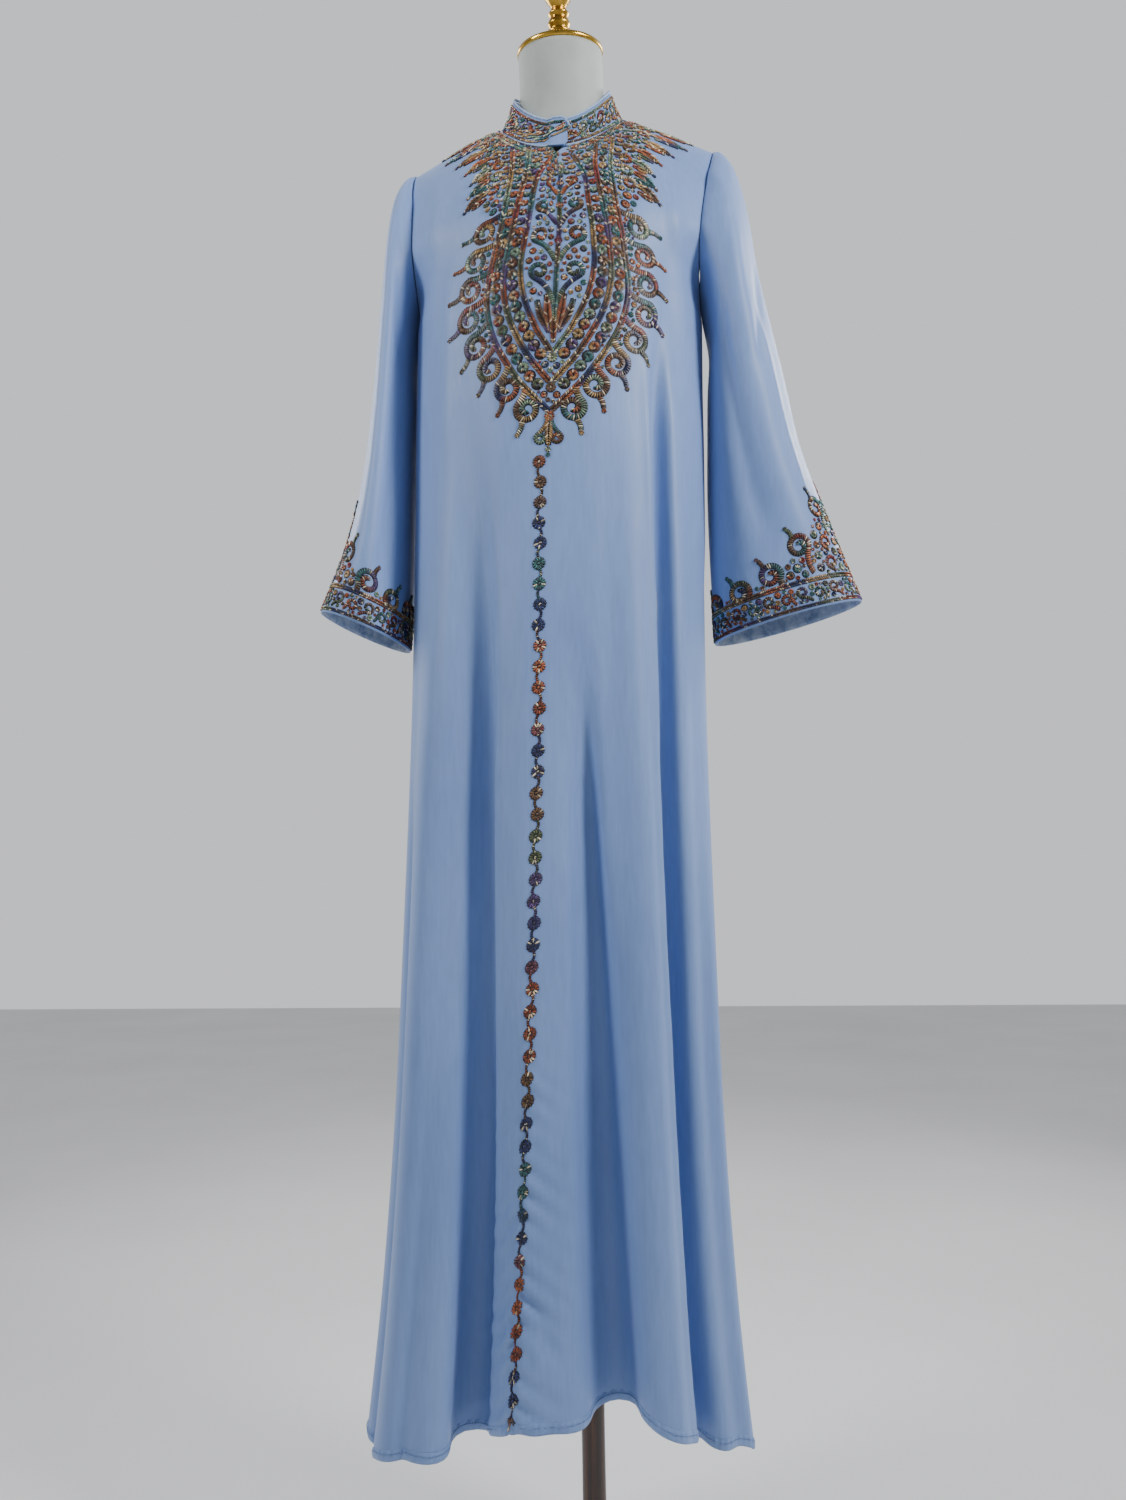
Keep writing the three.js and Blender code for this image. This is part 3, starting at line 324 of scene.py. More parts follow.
# ---------- creases laid on the big folds -------------------
# Each runs between two points of its panel: x and z of its upper and lower end, half its width, and
# its height (a trough is negative).
FRONT_CREASES = [
    ("bust_left", -0.128, 1.560, -0.141, 1.270, 0.010, 0.0022),
    ("bust_left_in", -0.112, 1.430, -0.120, 1.050, 0.016, -0.0020),
    ("shoulder_left", -0.150, 1.680, -0.158, 1.420, 0.012, 0.0020),
    ("bust_right", 0.124, 1.640, 0.140, 1.400, 0.009, 0.0026),
    ("bust_right_in", 0.112, 1.560, 0.126, 1.330, 0.012, -0.0022),
    ("side_right", 0.145, 1.420, 0.152, 1.150, 0.008, 0.0022),
    ("waist_left", -0.065, 1.300, -0.078, 0.900, 0.020, -0.0030),
    ("waist_middle", 0.045, 1.180, 0.062, 0.780, 0.018, -0.0022),
    ("skirt_left", -0.150, 0.900, -0.172, 0.420, 0.014, 0.0026),
    ("skirt_right", 0.070, 0.760, 0.092, 0.330, 0.014, 0.0024),
    ("lobe_right", 0.088, 1.050, 0.104, 0.640, 0.010, -0.0016),
    ("lobe_left", -0.128, 0.820, -0.140, 0.360, 0.012, -0.0018),
    ("hem_rumple_a", -0.052, 0.420, -0.020, 0.335, 0.009, -0.0034),
    ("hem_rumple_b", -0.050, 0.365, -0.012, 0.300, 0.008, 0.0030),
    ("hem_rumple_c", -0.068, 0.400, -0.098, 0.300, 0.010, 0.0026),
    ("hem_rumple_d", -0.040, 0.330, 0.004, 0.290, 0.007, -0.0026),
]
BACK_CREASES = [
    ("blade_left", -0.095, 1.640, -0.120, 1.380, 0.016, 0.0020),
    ("blade_right", 0.085, 1.630, 0.118, 1.350, 0.015, 0.0022),
    ("waist_back_left", -0.060, 1.350, -0.085, 0.950, 0.018, -0.0026),
    ("waist_back", 0.010, 1.300, -0.004, 0.880, 0.020, 0.0024),
    ("waist_back_right", 0.080, 1.330, 0.098, 0.900, 0.016, -0.0024),
    ("skirt_back_left", -0.120, 0.900, -0.160, 0.420, 0.014, 0.0024),
    ("skirt_back", -0.030, 0.800, -0.042, 0.350, 0.013, -0.0020),
    ("skirt_back_right", 0.090, 0.860, 0.104, 0.400, 0.014, 0.0024),
]
# On a sleeve: turn and share of the length at the upper and lower end, width in degrees, height.
SLEEVE_CREASES = {
    "right": [
        ("inner_fold", 118, 0.30, 96, 0.80, 13, -0.0060),
        ("front_ridge", 78, 0.22, 62, 0.86, 15, 0.0040),
        ("bright_line", 52, 0.42, 44, 0.74, 6, 0.0028),
        ("elbow", 30, 0.34, 70, 0.50, 12, -0.0026),
        ("outer", 18, 0.12, 20, 0.60, 14, 0.0022),
        ("back_trough", 292, 0.25, 300, 0.85, 16, -0.0050),
        ("back_ridge", 255, 0.20, 250, 0.80, 15, 0.0036),
        ("head_a", 60, 0.03, 66, 0.16, 9, 0.0018),
        ("head_b", 110, 0.04, 112, 0.20, 10, 0.0020),
    ],
    "left": [
        ("inner_fold", 132, 0.25, 128, 0.85, 14, -0.0050),
        ("front_ridge", 96, 0.20, 92, 0.88, 16, 0.0036),
        ("outer_front", 52, 0.25, 50, 0.80, 14, -0.0024),
        ("outer", 20, 0.15, 14, 0.70, 14, 0.0020),
        ("back_trough", 300, 0.25, 296, 0.85, 16, -0.0046),
        ("back_ridge", 255, 0.20, 252, 0.80, 15, 0.0036),
        ("head_a", 66, 0.03, 70, 0.17, 9, 0.0018),
    ],
}
# The big folds' crests and valleys, drawn sharper: angle at the top and at the hem, half width in
# degrees, height, and the heights above the floor where it starts and is full.
SHARP_FOLDS = [
    ("left_valley", -25, -27, 4.2, -0.0220, 1.300, 0.950),
    ("left_hollow", -15, -15, 7.0, -0.0130, 1.050, 0.450),
    ("left_crest", -47, -52, 7.0, 0.0030, 1.200, 0.800),
    ("left_edge_lip", -33, -35, 3.6, 0.0060, 1.150, 0.750),
    ("right_valley", 13, 21, 4.2, -0.0220, 1.120, 0.860),
    ("right_valley_lip", 5, 10, 3.6, 0.0040, 1.060, 0.800),
    ("right_hollow", 18, 23, 7.0, -0.0120, 1.000, 0.550),
    ("right_crest", 30, 34, 4.5, 0.0035, 1.300, 0.950),
    ("pleat", 45, 54, 3.6, -0.0150, 1.470, 1.300),
    ("pleat_lip", 39.5, 47, 2.6, 0.0045, 1.450, 1.250),
    ("side_lip", 55, 63, 5.0, 0.0030, 1.400, 1.150),
    ("side_valley", 66, 69, 4.0, -0.0040, 0.900, 0.600),
    ("right_back_valley", 102, 102, 4.5, -0.0110, 1.120, 0.750),
    ("right_back_crest", 123, 126, 5.0, 0.0035, 1.200, 0.850),
    ("back_valley_right", 146, 149, 4.2, -0.0160, 1.240, 0.850),
    ("back_crest", 171, 173, 4.5, 0.0040, 1.250, 0.900),
    ("back_valley_left", 197, 196, 4.0, -0.0150, 1.180, 0.800),
    ("left_back_crest", 219, 219, 5.0, 0.0035, 1.200, 0.850),
    ("left_back_valley", 243, 242, 4.5, -0.0120, 1.200, 0.850),
    ("left_side_valley", 288, 286, 4.0, -0.0060, 1.000, 0.700),
]
PUCKER = dict(top_z=0.760, full_z=0.400, pitch=0.0250, slant=34, reach=0.026, height=0.0050, wander=61,
              held=0.004)
HALF_FRONT = 0.28                      # half a front panel's usual width, laid flat
CREASE_FADE = 0.3                      # share of a crease over which each end fades
SLEEVE_CREASE = dict(past_end=0.08, fade=0.14, seam=0.008)
SEAM_GROOVE = dict(depth=0.0014, share=0.006)


def along_segment(x, z, x0, z0, x1, z1):
    """Share of the way along a segment, and distance from it."""
    dx, dz = x1 - x0, z1 - z0
    t = ((x - x0) * dx + (z - z0) * dz) / (dx * dx + dz * dz)
    near = np.clip(t, 0, 1)
    return near, np.hypot(x - x0 - near * dx, z - z0 - near * dz)


def crease_push(points, creases):
    push = np.zeros(points.shape[:-1])
    for _, x0, z0, x1, z1, width, height in creases:
        t, away = along_segment(points[..., 0], points[..., 2], x0, z0, x1, z1)
        push += (height * np.exp(-((away / width) ** 2))
                 * smooth(t / CREASE_FADE) * smooth((1 - t) / CREASE_FADE))
    return push


def pucker_push(points, u):
    """The chain gathers the cloth beside it, more so towards the hem."""
    z = points[..., 2]
    strength = smooth((PUCKER["top_z"] - z) / (PUCKER["top_z"] - PUCKER["full_z"]))
    aside = u * HALF_FRONT
    wave = np.cos(2 * np.pi * (z / PUCKER["pitch"] + np.abs(aside) * PUCKER["slant"]))
    uneven = 0.65 + 0.35 * np.sin(z * PUCKER["wander"] + 2.0 * np.sign(u))
    held = np.clip(np.abs(aside) / PUCKER["held"], 0, 1)
    return PUCKER["height"] * strength * uneven * wave * held * np.exp(-np.abs(aside) / PUCKER["reach"])


def sharp_push(points, u, face):
    """Narrow ridges and valleys on the big folds, measured round the body from the front."""
    z = points[..., 2]
    angle = (90 * u if face < 0 else 180 - 90 * u) + sample(SECTIONS, "z", "twist", z)
    push = np.zeros(z.shape)
    for _, top_angle, hem_angle, width, height, start_z, full_z in SHARP_FOLDS:
        down = np.clip((start_z - z) / (start_z - HEM_Z), 0, FOLD_GROWTH["past_hem"])
        away = wrapped(angle - lerp(top_angle, hem_angle, down))
        push += height * np.exp(-((away / width) ** 2)) * smooth((start_z - z) / (start_z - full_z))
    return push


def panel_push(points, u, v, face):
    push = crease_push(points, FRONT_CREASES if face < 0 else BACK_CREASES) + sharp_push(points, u, face)
    if face < 0:
        push += pucker_push(points, u)
    at_side = smooth((np.abs(u) - 1 + SEAM_GROOVE["share"]) / SEAM_GROOVE["share"])
    return push - SEAM_GROOVE["depth"] * at_side * (v < 1.02)


def dressed_panel(u, v, face):
    """Points of a panel with its creases, and the outward normals under them."""
    u, v = np.broadcast_arrays(np.asarray(u, float), np.asarray(v, float))
    surface = lambda a, b: panel_point(a, b, face)
    points = surface(u, v)
    normals = normals_of(surface, u, v, -face)
    return points + normals * panel_push(points, u, v, face)[..., None], normals


def sleeve_push(turn, s, side):
    push = np.zeros(np.shape(turn))
    for _, turn0, s0, turn1, s1, width, height in SLEEVE_CREASES["right" if side > 0 else "left"]:
        t = np.clip((s - s0) / (s1 - s0), 0, 1)
        away = wrapped(turn - lerp(turn0, turn1, t))
        past, fade = SLEEVE_CREASE["past_end"], SLEEVE_CREASE["fade"]
        ends = smooth((s - s0 + past) / fade) * smooth((s1 + past - s) / fade)
        push += height * np.exp(-((away / width) ** 2)) * ends
    return push - SEAM_GROOVE["depth"] * (1 - smooth(s / SLEEVE_CREASE["seam"]))


def dressed_sleeve(turn, s, side, rows):
    turn, s = np.broadcast_arrays(np.asarray(turn, float), np.asarray(s, float))
    surface = lambda a, b: sleeve_point(a, b, side, rows)
    points = surface(turn, s)
    normals = normals_of(surface, turn, s, side)
    return points + normals * sleeve_push(turn, s, side)[..., None], normals


# ---------- meshes ----------
def make_object(name, points, faces, material, colours=None):
    mesh = bpy.data.meshes.new(name)
    mesh.from_pydata([tuple(p) for p in np.asarray(points).reshape(-1, 3)], [], faces)
    if colours is not None:
        layer = mesh.color_attributes.new("thread", "FLOAT_COLOR", "POINT")
        layer.data.foreach_set("color", np.asarray(colours, np.float32).ravel())
    mesh.shade_smooth()
    mesh.update()
    piece = bpy.data.objects.new(name, mesh)
    bpy.context.scene.collection.objects.link(piece)
    for each in material if isinstance(material, (list, tuple)) else [material]:
        mesh.materials.append(each)
    return piece


def grid_faces(rows, columns, closed=False, flip=False):
    j, i = np.mgrid[0:rows - 1, 0:columns if closed else columns - 1]
    after = (i + 1) % columns
    corners = [j * columns + i, j * columns + after, (j + 1) * columns + after, (j + 1) * columns + i]
    if flip:
        corners.reverse()
    return np.stack([c.ravel() for c in corners], axis=1).tolist()


def settle(piece, slot, *nodes):
    """Puts a finished piece on the part's one body."""
    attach(piece, "root")
    if nodes:
        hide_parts(*nodes)
    return piece


def cloth_shell(name, points, materials, closed=False, flip=False):
    """A sheet of cloth: its outer face is the grid, its thickness goes inwards."""
    rows, columns = points.shape[:2]
    piece = make_object(name, points, grid_faces(rows, columns, closed, flip), materials)
    shell = piece.modifiers.new("thickness", "SOLIDIFY")
    shell.thickness = CLOTH
    shell.offset = -1
    shell.material_offset = len(materials) - 1
    return piece


# ---------- materials ----------
def srgb(red, green, blue):
    """A colour as seen on screen, 0 to 255, as the linear values that shaders take."""
    share = np.array([red, green, blue]) / 255
    linear = np.where(share <= 0.04045, share / 12.92, ((share + 0.055) / 1.055) ** 2.4)
    return (*[float(v) for v in linear], 1.0)


def map_range(tree, source, *limits):
    """A value carried from one range to another: the old one's limits, then the new one's."""
    node = tree.nodes.new("ShaderNodeMapRange")
    for key, value in zip(("From Min", "From Max", "To Min", "To Max"), limits):
        node.inputs[key].default_value = value
    tree.links.new(source, node.inputs["Value"])
    return node.outputs["Result"]


class Nodes:
    """Short calls for building a material's nodes."""

    def __init__(self, name):
        self.material = bpy.data.materials.new(name)
        self.material.use_nodes = True
        self.tree = self.material.node_tree
        self.shader = self.tree.nodes["Principled BSDF"]
        self.place = self.tree.nodes.new("ShaderNodeTexCoord").outputs["Object"]

    def set(self, **values):
        for key, value in values.items():
            self.shader.inputs[key.replace("_", " ")].default_value = value
        return self

    def link(self, source, target):
        self.tree.links.new(source, target)

    def stretched(self, scale):
        mapping = self.tree.nodes.new("ShaderNodeMapping")
        mapping.inputs["Scale"].default_value = scale
        self.link(self.place, mapping.inputs["Vector"])
        return mapping.outputs["Vector"]

    def noise(self, scale, detail=2.0, rough=0.5, stretch=None):
        node = self.tree.nodes.new("ShaderNodeTexNoise")
        node.inputs["Scale"].default_value = scale
        node.inputs["Detail"].default_value = detail
        node.inputs["Roughness"].default_value = rough
        self.link(self.stretched(stretch) if stretch else self.place, node.inputs["Vector"])
        return node.outputs["Fac"]

    def wave(self, scale, direction, distortion):
        node = self.tree.nodes.new("ShaderNodeTexWave")
        node.bands_direction = direction
        node.inputs["Scale"].default_value = scale
        node.inputs["Distortion"].default_value = distortion
        self.link(self.place, node.inputs["Vector"])
        return node.outputs["Fac"]

    def ramp(self, source, stops):
        node = self.tree.nodes.new("ShaderNodeValToRGB")
        elements = node.color_ramp.elements
        elements[0].position, elements[0].color = stops[0]
        elements[1].position, elements[1].color = stops[-1]
        for position, colour in stops[1:-1]:
            elements.new(position).color = colour
        self.link(source, node.inputs["Fac"])
        return node.outputs["Color"]

    def spread(self, source, low, high):
        """A texture's usual range, 0.3 to 0.7, spread over another range."""
        return map_range(self.tree, source, 0.3, 0.7, low, high)

    def tint(self, colour, factor_low, factor_high, source):
        """A colour input made a little darker and lighter by a texture."""
        node = self.tree.nodes.new("ShaderNodeMix")
        node.data_type = "RGBA"
        node.blend_type = "MULTIPLY"
        node.inputs["Factor"].default_value = 1.0
        grey = self.ramp(source, [(0.3, (factor_low,) * 3 + (1,)), (0.7, (factor_high,) * 3 + (1,))])
        self.link(colour, node.inputs["A"])
        self.link(grey, node.inputs["B"])
        return node.outputs["Result"]

    def bump(self, source, distance, strength=1.0, below=None):
        node = self.tree.nodes.new("ShaderNodeBump")
        node.inputs["Distance"].default_value = distance
        node.inputs["Strength"].default_value = strength
        self.link(source, node.inputs["Height"])
        if below is not None:
            self.link(below, node.inputs["Normal"])
        return node.outputs["Normal"]

    def into(self, source, key):
        self.link(source, self.shader.inputs[key])
        return self


def satin_crepe(name, light, dark, roughness):
    """Piece-dyed satin-faced crepe: a fine pebbled weave with a soft vertical grain."""
    n = Nodes(name)
    n.set(Metallic=0.0, Sheen_Weight=0.22, Sheen_Roughness=0.45, Specular_IOR_Level=0.36)
    n.set(Sheen_Tint=srgb(214, 226, 250))
    cloudy = n.noise(scale=7.0, detail=4.0, rough=0.55, stretch=(1, 1, 0.35))
    colour = n.ramp(cloudy, [(0.3, dark), (0.7, light)])
    grain = n.noise(scale=260.0, detail=2.0, rough=0.5, stretch=(1, 1, 0.12))
    n.into(n.tint(colour, 0.95, 1.03, grain), "Base Color")
    n.into(n.spread(grain, low=roughness - 0.05, high=roughness + 0.06), "Roughness")
    weave = n.bump(n.noise(scale=1500.0, detail=2.0, rough=0.6), distance=0.0002, strength=0.35)
    slub = n.noise(scale=110.0, detail=3.0, rough=0.5, stretch=(1, 1, 0.25))
    n.into(n.bump(slub, distance=0.0006, strength=0.18, below=weave), "Normal")
    return n.material


def cloth_reverse():
    """The dull side of the same cloth, mottled where the embroidery's backing lies."""
    n = Nodes("cloth_reverse")
    n.set(Metallic=0.0, Roughness=0.85, Sheen_Weight=0.3, Sheen_Roughness=0.6)
    patches = n.noise(scale=95.0, detail=5.0, rough=0.7)
    stops = [(0.32, srgb(104, 126, 166)), (0.5, srgb(150, 168, 198)), (0.68, srgb(186, 198, 214))]
    n.into(n.ramp(patches, stops), "Base Color")
    n.into(n.bump(n.noise(scale=420.0, detail=4.0, rough=0.7), distance=0.0006, strength=0.6), "Normal")
    return n.material


def metallic_thread():
    """Space-dyed thread with a metal strand: the dye, with the stitches' painted shade and painted glints, is
    in their own colour attribute.
    """
    n = Nodes("metallic_thread")
    n.set(Metallic=0.35, Coat_Weight=0.15, Coat_Roughness=0.3, Sheen_Weight=0.15)
    dye = n.tree.nodes.new("ShaderNodeAttribute")
    dye.attribute_name = "thread"
    ply = n.noise(scale=1400.0, detail=2.0, rough=0.6)
    n.into(n.tint(dye.outputs["Color"], 0.62, 1.06, ply), "Base Color")
    n.into(n.spread(ply, low=0.28, high=0.5), "Roughness")
    n.into(n.bump(ply, distance=0.0003, strength=0.7), "Normal")
    return n.material


def plain_cord(name, light, dark):
    n = Nodes(name)
    n.set(Metallic=0.0, Roughness=0.42, Sheen_Weight=0.25, Specular_IOR_Level=0.5)
    # painted shade and highlight: the twist's grooves are painted darker and its ridges lighter, in step with
    # its bump
    twist = n.wave(420.0, "DIAGONAL", 1.5)
    n.into(n.ramp(twist, [(0.2, dark), (0.8, light)]), "Base Color")
    n.into(n.bump(twist, distance=0.0003, strength=0.5), "Normal")
    return n.material


def form_paint():
    """Matt off-white shell with a faint handled unevenness."""
    n = Nodes("form_paint")
    n.set(Metallic=0.0, Specular_IOR_Level=0.35)
    blotch = n.noise(scale=14.0, detail=5.0, rough=0.6)
    n.into(n.ramp(blotch, [(0.3, srgb(164, 171, 166)), (0.7, srgb(184, 190, 186))]), "Base Color")
    n.into(n.spread(n.noise(scale=60.0, detail=3.0), low=0.5, high=0.66), "Roughness")
    n.into(n.bump(n.noise(scale=700.0, detail=3.0, rough=0.6), distance=0.0002, strength=0.3), "Normal")
    return n.material


def polished_brass():
    n = Nodes("polished_brass")
    n.set(Metallic=1.0, Specular_IOR_Level=0.5, Coat_Weight=0.25, Coat_Roughness=0.12)
    tarnish = n.noise(scale=38.0, detail=6.0, rough=0.65)
    stops = [(0.3, srgb(172, 124, 34)), (0.55, srgb(222, 178, 72)), (0.75, srgb(240, 208, 112))]
    n.into(n.ramp(tarnish, stops), "Base Color")
    n.into(n.spread(n.noise(scale=90.0, detail=4.0), low=0.14, high=0.34), "Roughness")
    turned = n.wave(900.0, "Z", 0.6)
    n.into(n.bump(turned, distance=0.0001, strength=0.15), "Normal")
    return n.material


def dark_wood():
    """Stained, varnished wood with grain along the height."""
    n = Nodes("dark_wood")
    n.set(Metallic=0.0, Coat_Weight=0.35, Coat_Roughness=0.25, Specular_IOR_Level=0.5)
    grain = n.noise(scale=160.0, detail=6.0, rough=0.62, stretch=(1, 1, 0.045))
    stops = [(0.3, srgb(34, 20, 15)), (0.5, srgb(62, 39, 28)), (0.7, srgb(104, 68, 46))]
    n.into(n.ramp(grain, stops), "Base Color")
    n.into(n.spread(grain, low=0.34, high=0.52), "Roughness")
    n.into(n.bump(grain, distance=0.0004, strength=0.35), "Normal")
    return n.material


CLOTH_FACE = satin_crepe("satin_crepe", srgb(134, 162, 214), srgb(118, 146, 200), 0.50)
CLOTH_BACK = cloth_reverse()
HEM_CLOTH = satin_crepe("hem_crepe", srgb(136, 164, 214), srgb(116, 144, 198), 0.54)
THREAD = metallic_thread()
PIPING = plain_cord("piping_satin", srgb(176, 200, 236), srgb(134, 164, 212))
SEWING = plain_cord("sewing_thread", srgb(120, 146, 196), srgb(86, 112, 164))
FORM_PAINT = form_paint()
BRASS = polished_brass()
WOOD = dark_wood()


# ---------- body panels ----------
def spaced(*spans):
    """Rising values: (from, to, count) spans end to end."""
    parts = [np.linspace(low, high, count, endpoint=False) for low, high, count in spans]
    return np.append(np.concatenate(parts), spans[-1][1])


PANEL_EDGE = 1 - 1e-3
FRONT_U = spaced((-PANEL_EDGE, -0.06, 76), (-0.06, 0.06, 22), (0.06, PANEL_EDGE, 76))
FRONT_V = spaced((0, 0.42, 96), (0.42, 1, 68), (1, 1.86, 56), (1.86, 2, 20))
BACK_U = spaced((-PANEL_EDGE, PANEL_EDGE, 138))
BACK_V = spaced((0, 1, 120), (1, 1.85, 46), (1.85, 2, 16))
SLIT_HALF_SHARE = 0.030


def slit_scale(u):
    """The centre front stays open above the slit's foot, narrowing downwards to a drop's point."""
    return lerp(SLIT_SHARE, 1, smooth(np.abs(u) / SLIT_HALF_SHARE) ** 0.5)


def panel_grid(face):
    columns, rows = (FRONT_U, FRONT_V) if face < 0 else (BACK_U, BACK_V)
    v, u = np.meshgrid(rows, columns, indexing="ij")
    if face < 0:
        v = np.where(v > 1, 1 + (v - 1) * slit_scale(u), v)
    points, _ = dressed_panel(u, v, face)
    top = points[-1]
    top[:, 1] += face * SEAM_GAP / 2
    return points


FRONT = panel_grid(-1)
BACK = panel_grid(1)


def grid_normals(points, outward):
    down, across = np.gradient(points, axis=0), np.gradient(points, axis=1)
    return unit(np.cross(across, down)) * outward


CLOTH_SIDES = [CLOTH_FACE, CLOTH_BACK]
front_panel = settle(cloth_shell("cloth_front", FRONT, CLOTH_SIDES), "cloth", "front_panel")
back_panel = settle(cloth_shell("cloth_back", BACK, CLOTH_SIDES, flip=True), "cloth", "back_panel")


# ---------- sleeves ----------
SLEEVE_TURNS = np.linspace(0, 360, 128, endpoint=False)
SLEEVE_SHARES = spaced((0, 0.06, 12), (0.06, 1, 104))
SLEEVES = {
    "left": (-1, sleeve_rows(-1, SLEEVE_LEFT)),
    "right": (1, sleeve_rows(1, SLEEVE_RIGHT)),
}


def make_sleeve(name):
    side, rows = SLEEVES[name]
    s, turn = np.meshgrid(SLEEVE_SHARES, SLEEVE_TURNS, indexing="ij")
    points, _ = dressed_sleeve(turn, s, side, rows)
    piece = cloth_shell(f"sleeve_cloth_{name}", points, CLOTH_SIDES, closed=True, flip=side < 0)
    return settle(piece, "cloth", f"sleeve_{name}")


sleeve_pieces = {name: make_sleeve(name) for name in SLEEVES}


# ---------- collar ----------
COLLAR = dict(start=3.0, end=369.0, seam_rise=0.0014, hug=0.002, bevel=0.0007,
              lap=0.005, lap_from=346.0, lap_over=10, round_from=363.0, rounding=0.9)
COLLAR_ROWS = 17
PIPING_RADIUS = 0.0015
PIPING_GAP = 0.0011
CORD = dict(blunt_end=0.45, ply_depth=0.12)


def collar_point(angle, height):
    """angle runs round the neck from the front, height from the neckline seam (0) to the top (1)."""
    angle, height = np.broadcast_arrays(np.asarray(angle, float), np.asarray(height, float))
    low, high = oval_point(NECKLINE, angle), oval_point(COLLAR_TOP, angle)
    hug = np.sin(np.pi * height) * COLLAR["hug"]
    return lerp(low, high, height[..., None]) + neck_outward(angle) * (collar_lap(angle) - hug)[..., None]


def neck_outward(angle):
    return stack(np.sin(np.radians(angle)), -np.cos(np.radians(angle)), 0)


def collar_lap(angle):
    """How far out the collar's end lies over the other one."""
    return COLLAR["lap"] * smooth((angle - COLLAR["lap_from"]) / COLLAR["lap_over"])


def collar_end(angle):
    """Share of the way along the collar's rounded end."""
    return np.clip((angle - COLLAR["round_from"]) / (COLLAR["end"] - COLLAR["round_from"]), 0, 1)


def collar_heights(angle):
    """The lapped end is rounded, so its columns grow shorter."""
    half = 0.5 * np.sqrt(1 - (COLLAR["rounding"] * collar_end(angle)) ** 2)
    slant = np.linalg.norm(oval_point(COLLAR_TOP, angle) - oval_point(NECKLINE, angle), axis=-1)
    return np.maximum(0.5 - half, COLLAR["seam_rise"] / slant), 0.5 + half


COLLAR_ANGLES = spaced(
    (COLLAR["start"], COLLAR["round_from"], 150),
    (COLLAR["round_from"], COLLAR["end"], 14),
)


def collar_surface(angle, share):
    """share runs from the collar's lower edge (0) to its upper edge (1)."""
    low, high = collar_heights(angle)
    return collar_point(angle, lerp(low, high, share))


def make_collar():
    share, angle = np.meshgrid(np.linspace(0, 1, COLLAR_ROWS), COLLAR_ANGLES, indexing="ij")
    piece = cloth_shell("collar_cloth", collar_surface(angle, share), CLOTH_SIDES)
    piece.modifiers["thickness"].thickness = COLLAR_WALL
    edge = piece.modifiers.new("rounded_edge", "BEVEL")
    edge.width = COLLAR["bevel"]
    edge.segments = 2
    edge.limit_method = "ANGLE"
    return settle(piece, "cloth", "collar")


collar = make_collar()


def tube(name, path, radius, material, sides=12, twist=None):
    """A cord along a row of points, with rounded ends."""
    path = np.asarray(path, float)
    along = unit(np.gradient(path, axis=0))
    aside = unit(np.cross(along, np.array([0.0, 0.0, 1.0])))
    upward = np.cross(aside, along)
    turns = np.linspace(0, 2 * np.pi, sides, endpoint=False)
    radii = np.broadcast_to(radius, len(path)).astype(float).copy()
    radii[[0, -1]] *= CORD["blunt_end"]
    around = np.cos(turns)[None, :, None] * aside[:, None] + np.sin(turns)[None, :, None] * upward[:, None]
    lay = 1.0
    if twist:
        run = distance_run(path)
        lay = 1 + CORD["ply_depth"] * np.cos(2 * turns[None, :] - 2 * np.pi * run[:, None] / twist)
    points = path[:, None] + around * (radii[:, None] * lay)[..., None]
    faces = grid_faces(len(path), sides, closed=True, flip=True)
    faces.append(list(range(sides)))
    faces.append(list(range((len(path) - 1) * sides, len(path) * sides))[::-1])
    return make_object(name, points, faces, material)


def collar_edge_route():
    """Along the collar's top edge and round its lapped end, just clear of the cloth."""
    angle = COLLAR_ANGLES
    _, high = collar_heights(angle)
    normal = normals_of(collar_point, angle, high, 1)
    up = unit(collar_point(angle, high + 0.05) - collar_point(angle, high))
    turned = collar_end(angle)[:, None]
    past = stack(np.cos(np.radians(angle)), np.sin(np.radians(angle)), 0)
    rise = PIPING_RADIUS + PIPING_GAP
    point = collar_point(angle, high) - normal * COLLAR_WALL / 2
    return point + up * rise * (1 - 0.5 * turned) + past * rise * turned


piping_tube = tube("collar_top_piping", collar_edge_route(), PIPING_RADIUS, PIPING, twist=0.006)
collar_piping = settle(piping_tube, "piping", "collar_piping")


# ---------- dress form, cap, pole and base ----------
SIDE_NECK_Z = 1.756
SHOULDER_RIDGE_Z = 1.680
FORM_CLEAR = 0.0026
FORM_SIDES = 112
RIDGE_CLEAR = 0.0028
FORM_SLOPE = 1.7
RIDGE_HALF_DEPTH = 0.0015
RIDGE_SQUARENESS = 0.6
RIDGE_SQUARENESS_OVER = 0.2            # height over which the shoulders grow square
FORM_SECTIONS = table("z half_width half_depth shift_x shift_y", [
    (1.070, 0.128, 0.090, -0.014, 0.000),
    (1.082, 0.141, 0.099, -0.014, 0.000),
    (1.170, 0.149, 0.100, -0.013, 0.000),
    (1.270, 0.140, 0.095, -0.012, -0.002),
    (1.370, 0.122, 0.090, -0.011, -0.008),
    (1.440, 0.136, 0.102, -0.010, -0.014),
    (1.500, 0.146, 0.110, -0.009, -0.016),
    (1.560, 0.148, 0.102, -0.008, -0.011),
    (1.620, 0.148, 0.086, -0.008, -0.004),
    (1.670, 0.150, 0.070, -0.008, 0.000),
    (1.700, 0.150, 0.044, -0.008, 0.002),
    (1.720, 0.150, 0.024, -0.008, 0.003),
    (1.732, 0.150, 0.012, -0.008, 0.003),
    (1.742, 0.150, 0.007, -0.008, 0.002),
    (1.750, 0.150, 0.005, -0.008, -0.001),
])
NECK_SECTIONS = table("z radius y tilt", [
    (1.650, 0.048, 0.010, 0),
    (1.695, 0.053, 0.003, 2),
    (1.735, 0.053, -0.001, 5),
    (1.785, 0.052, -0.009, 9),
    (1.842, 0.052, -0.022, 12),
])
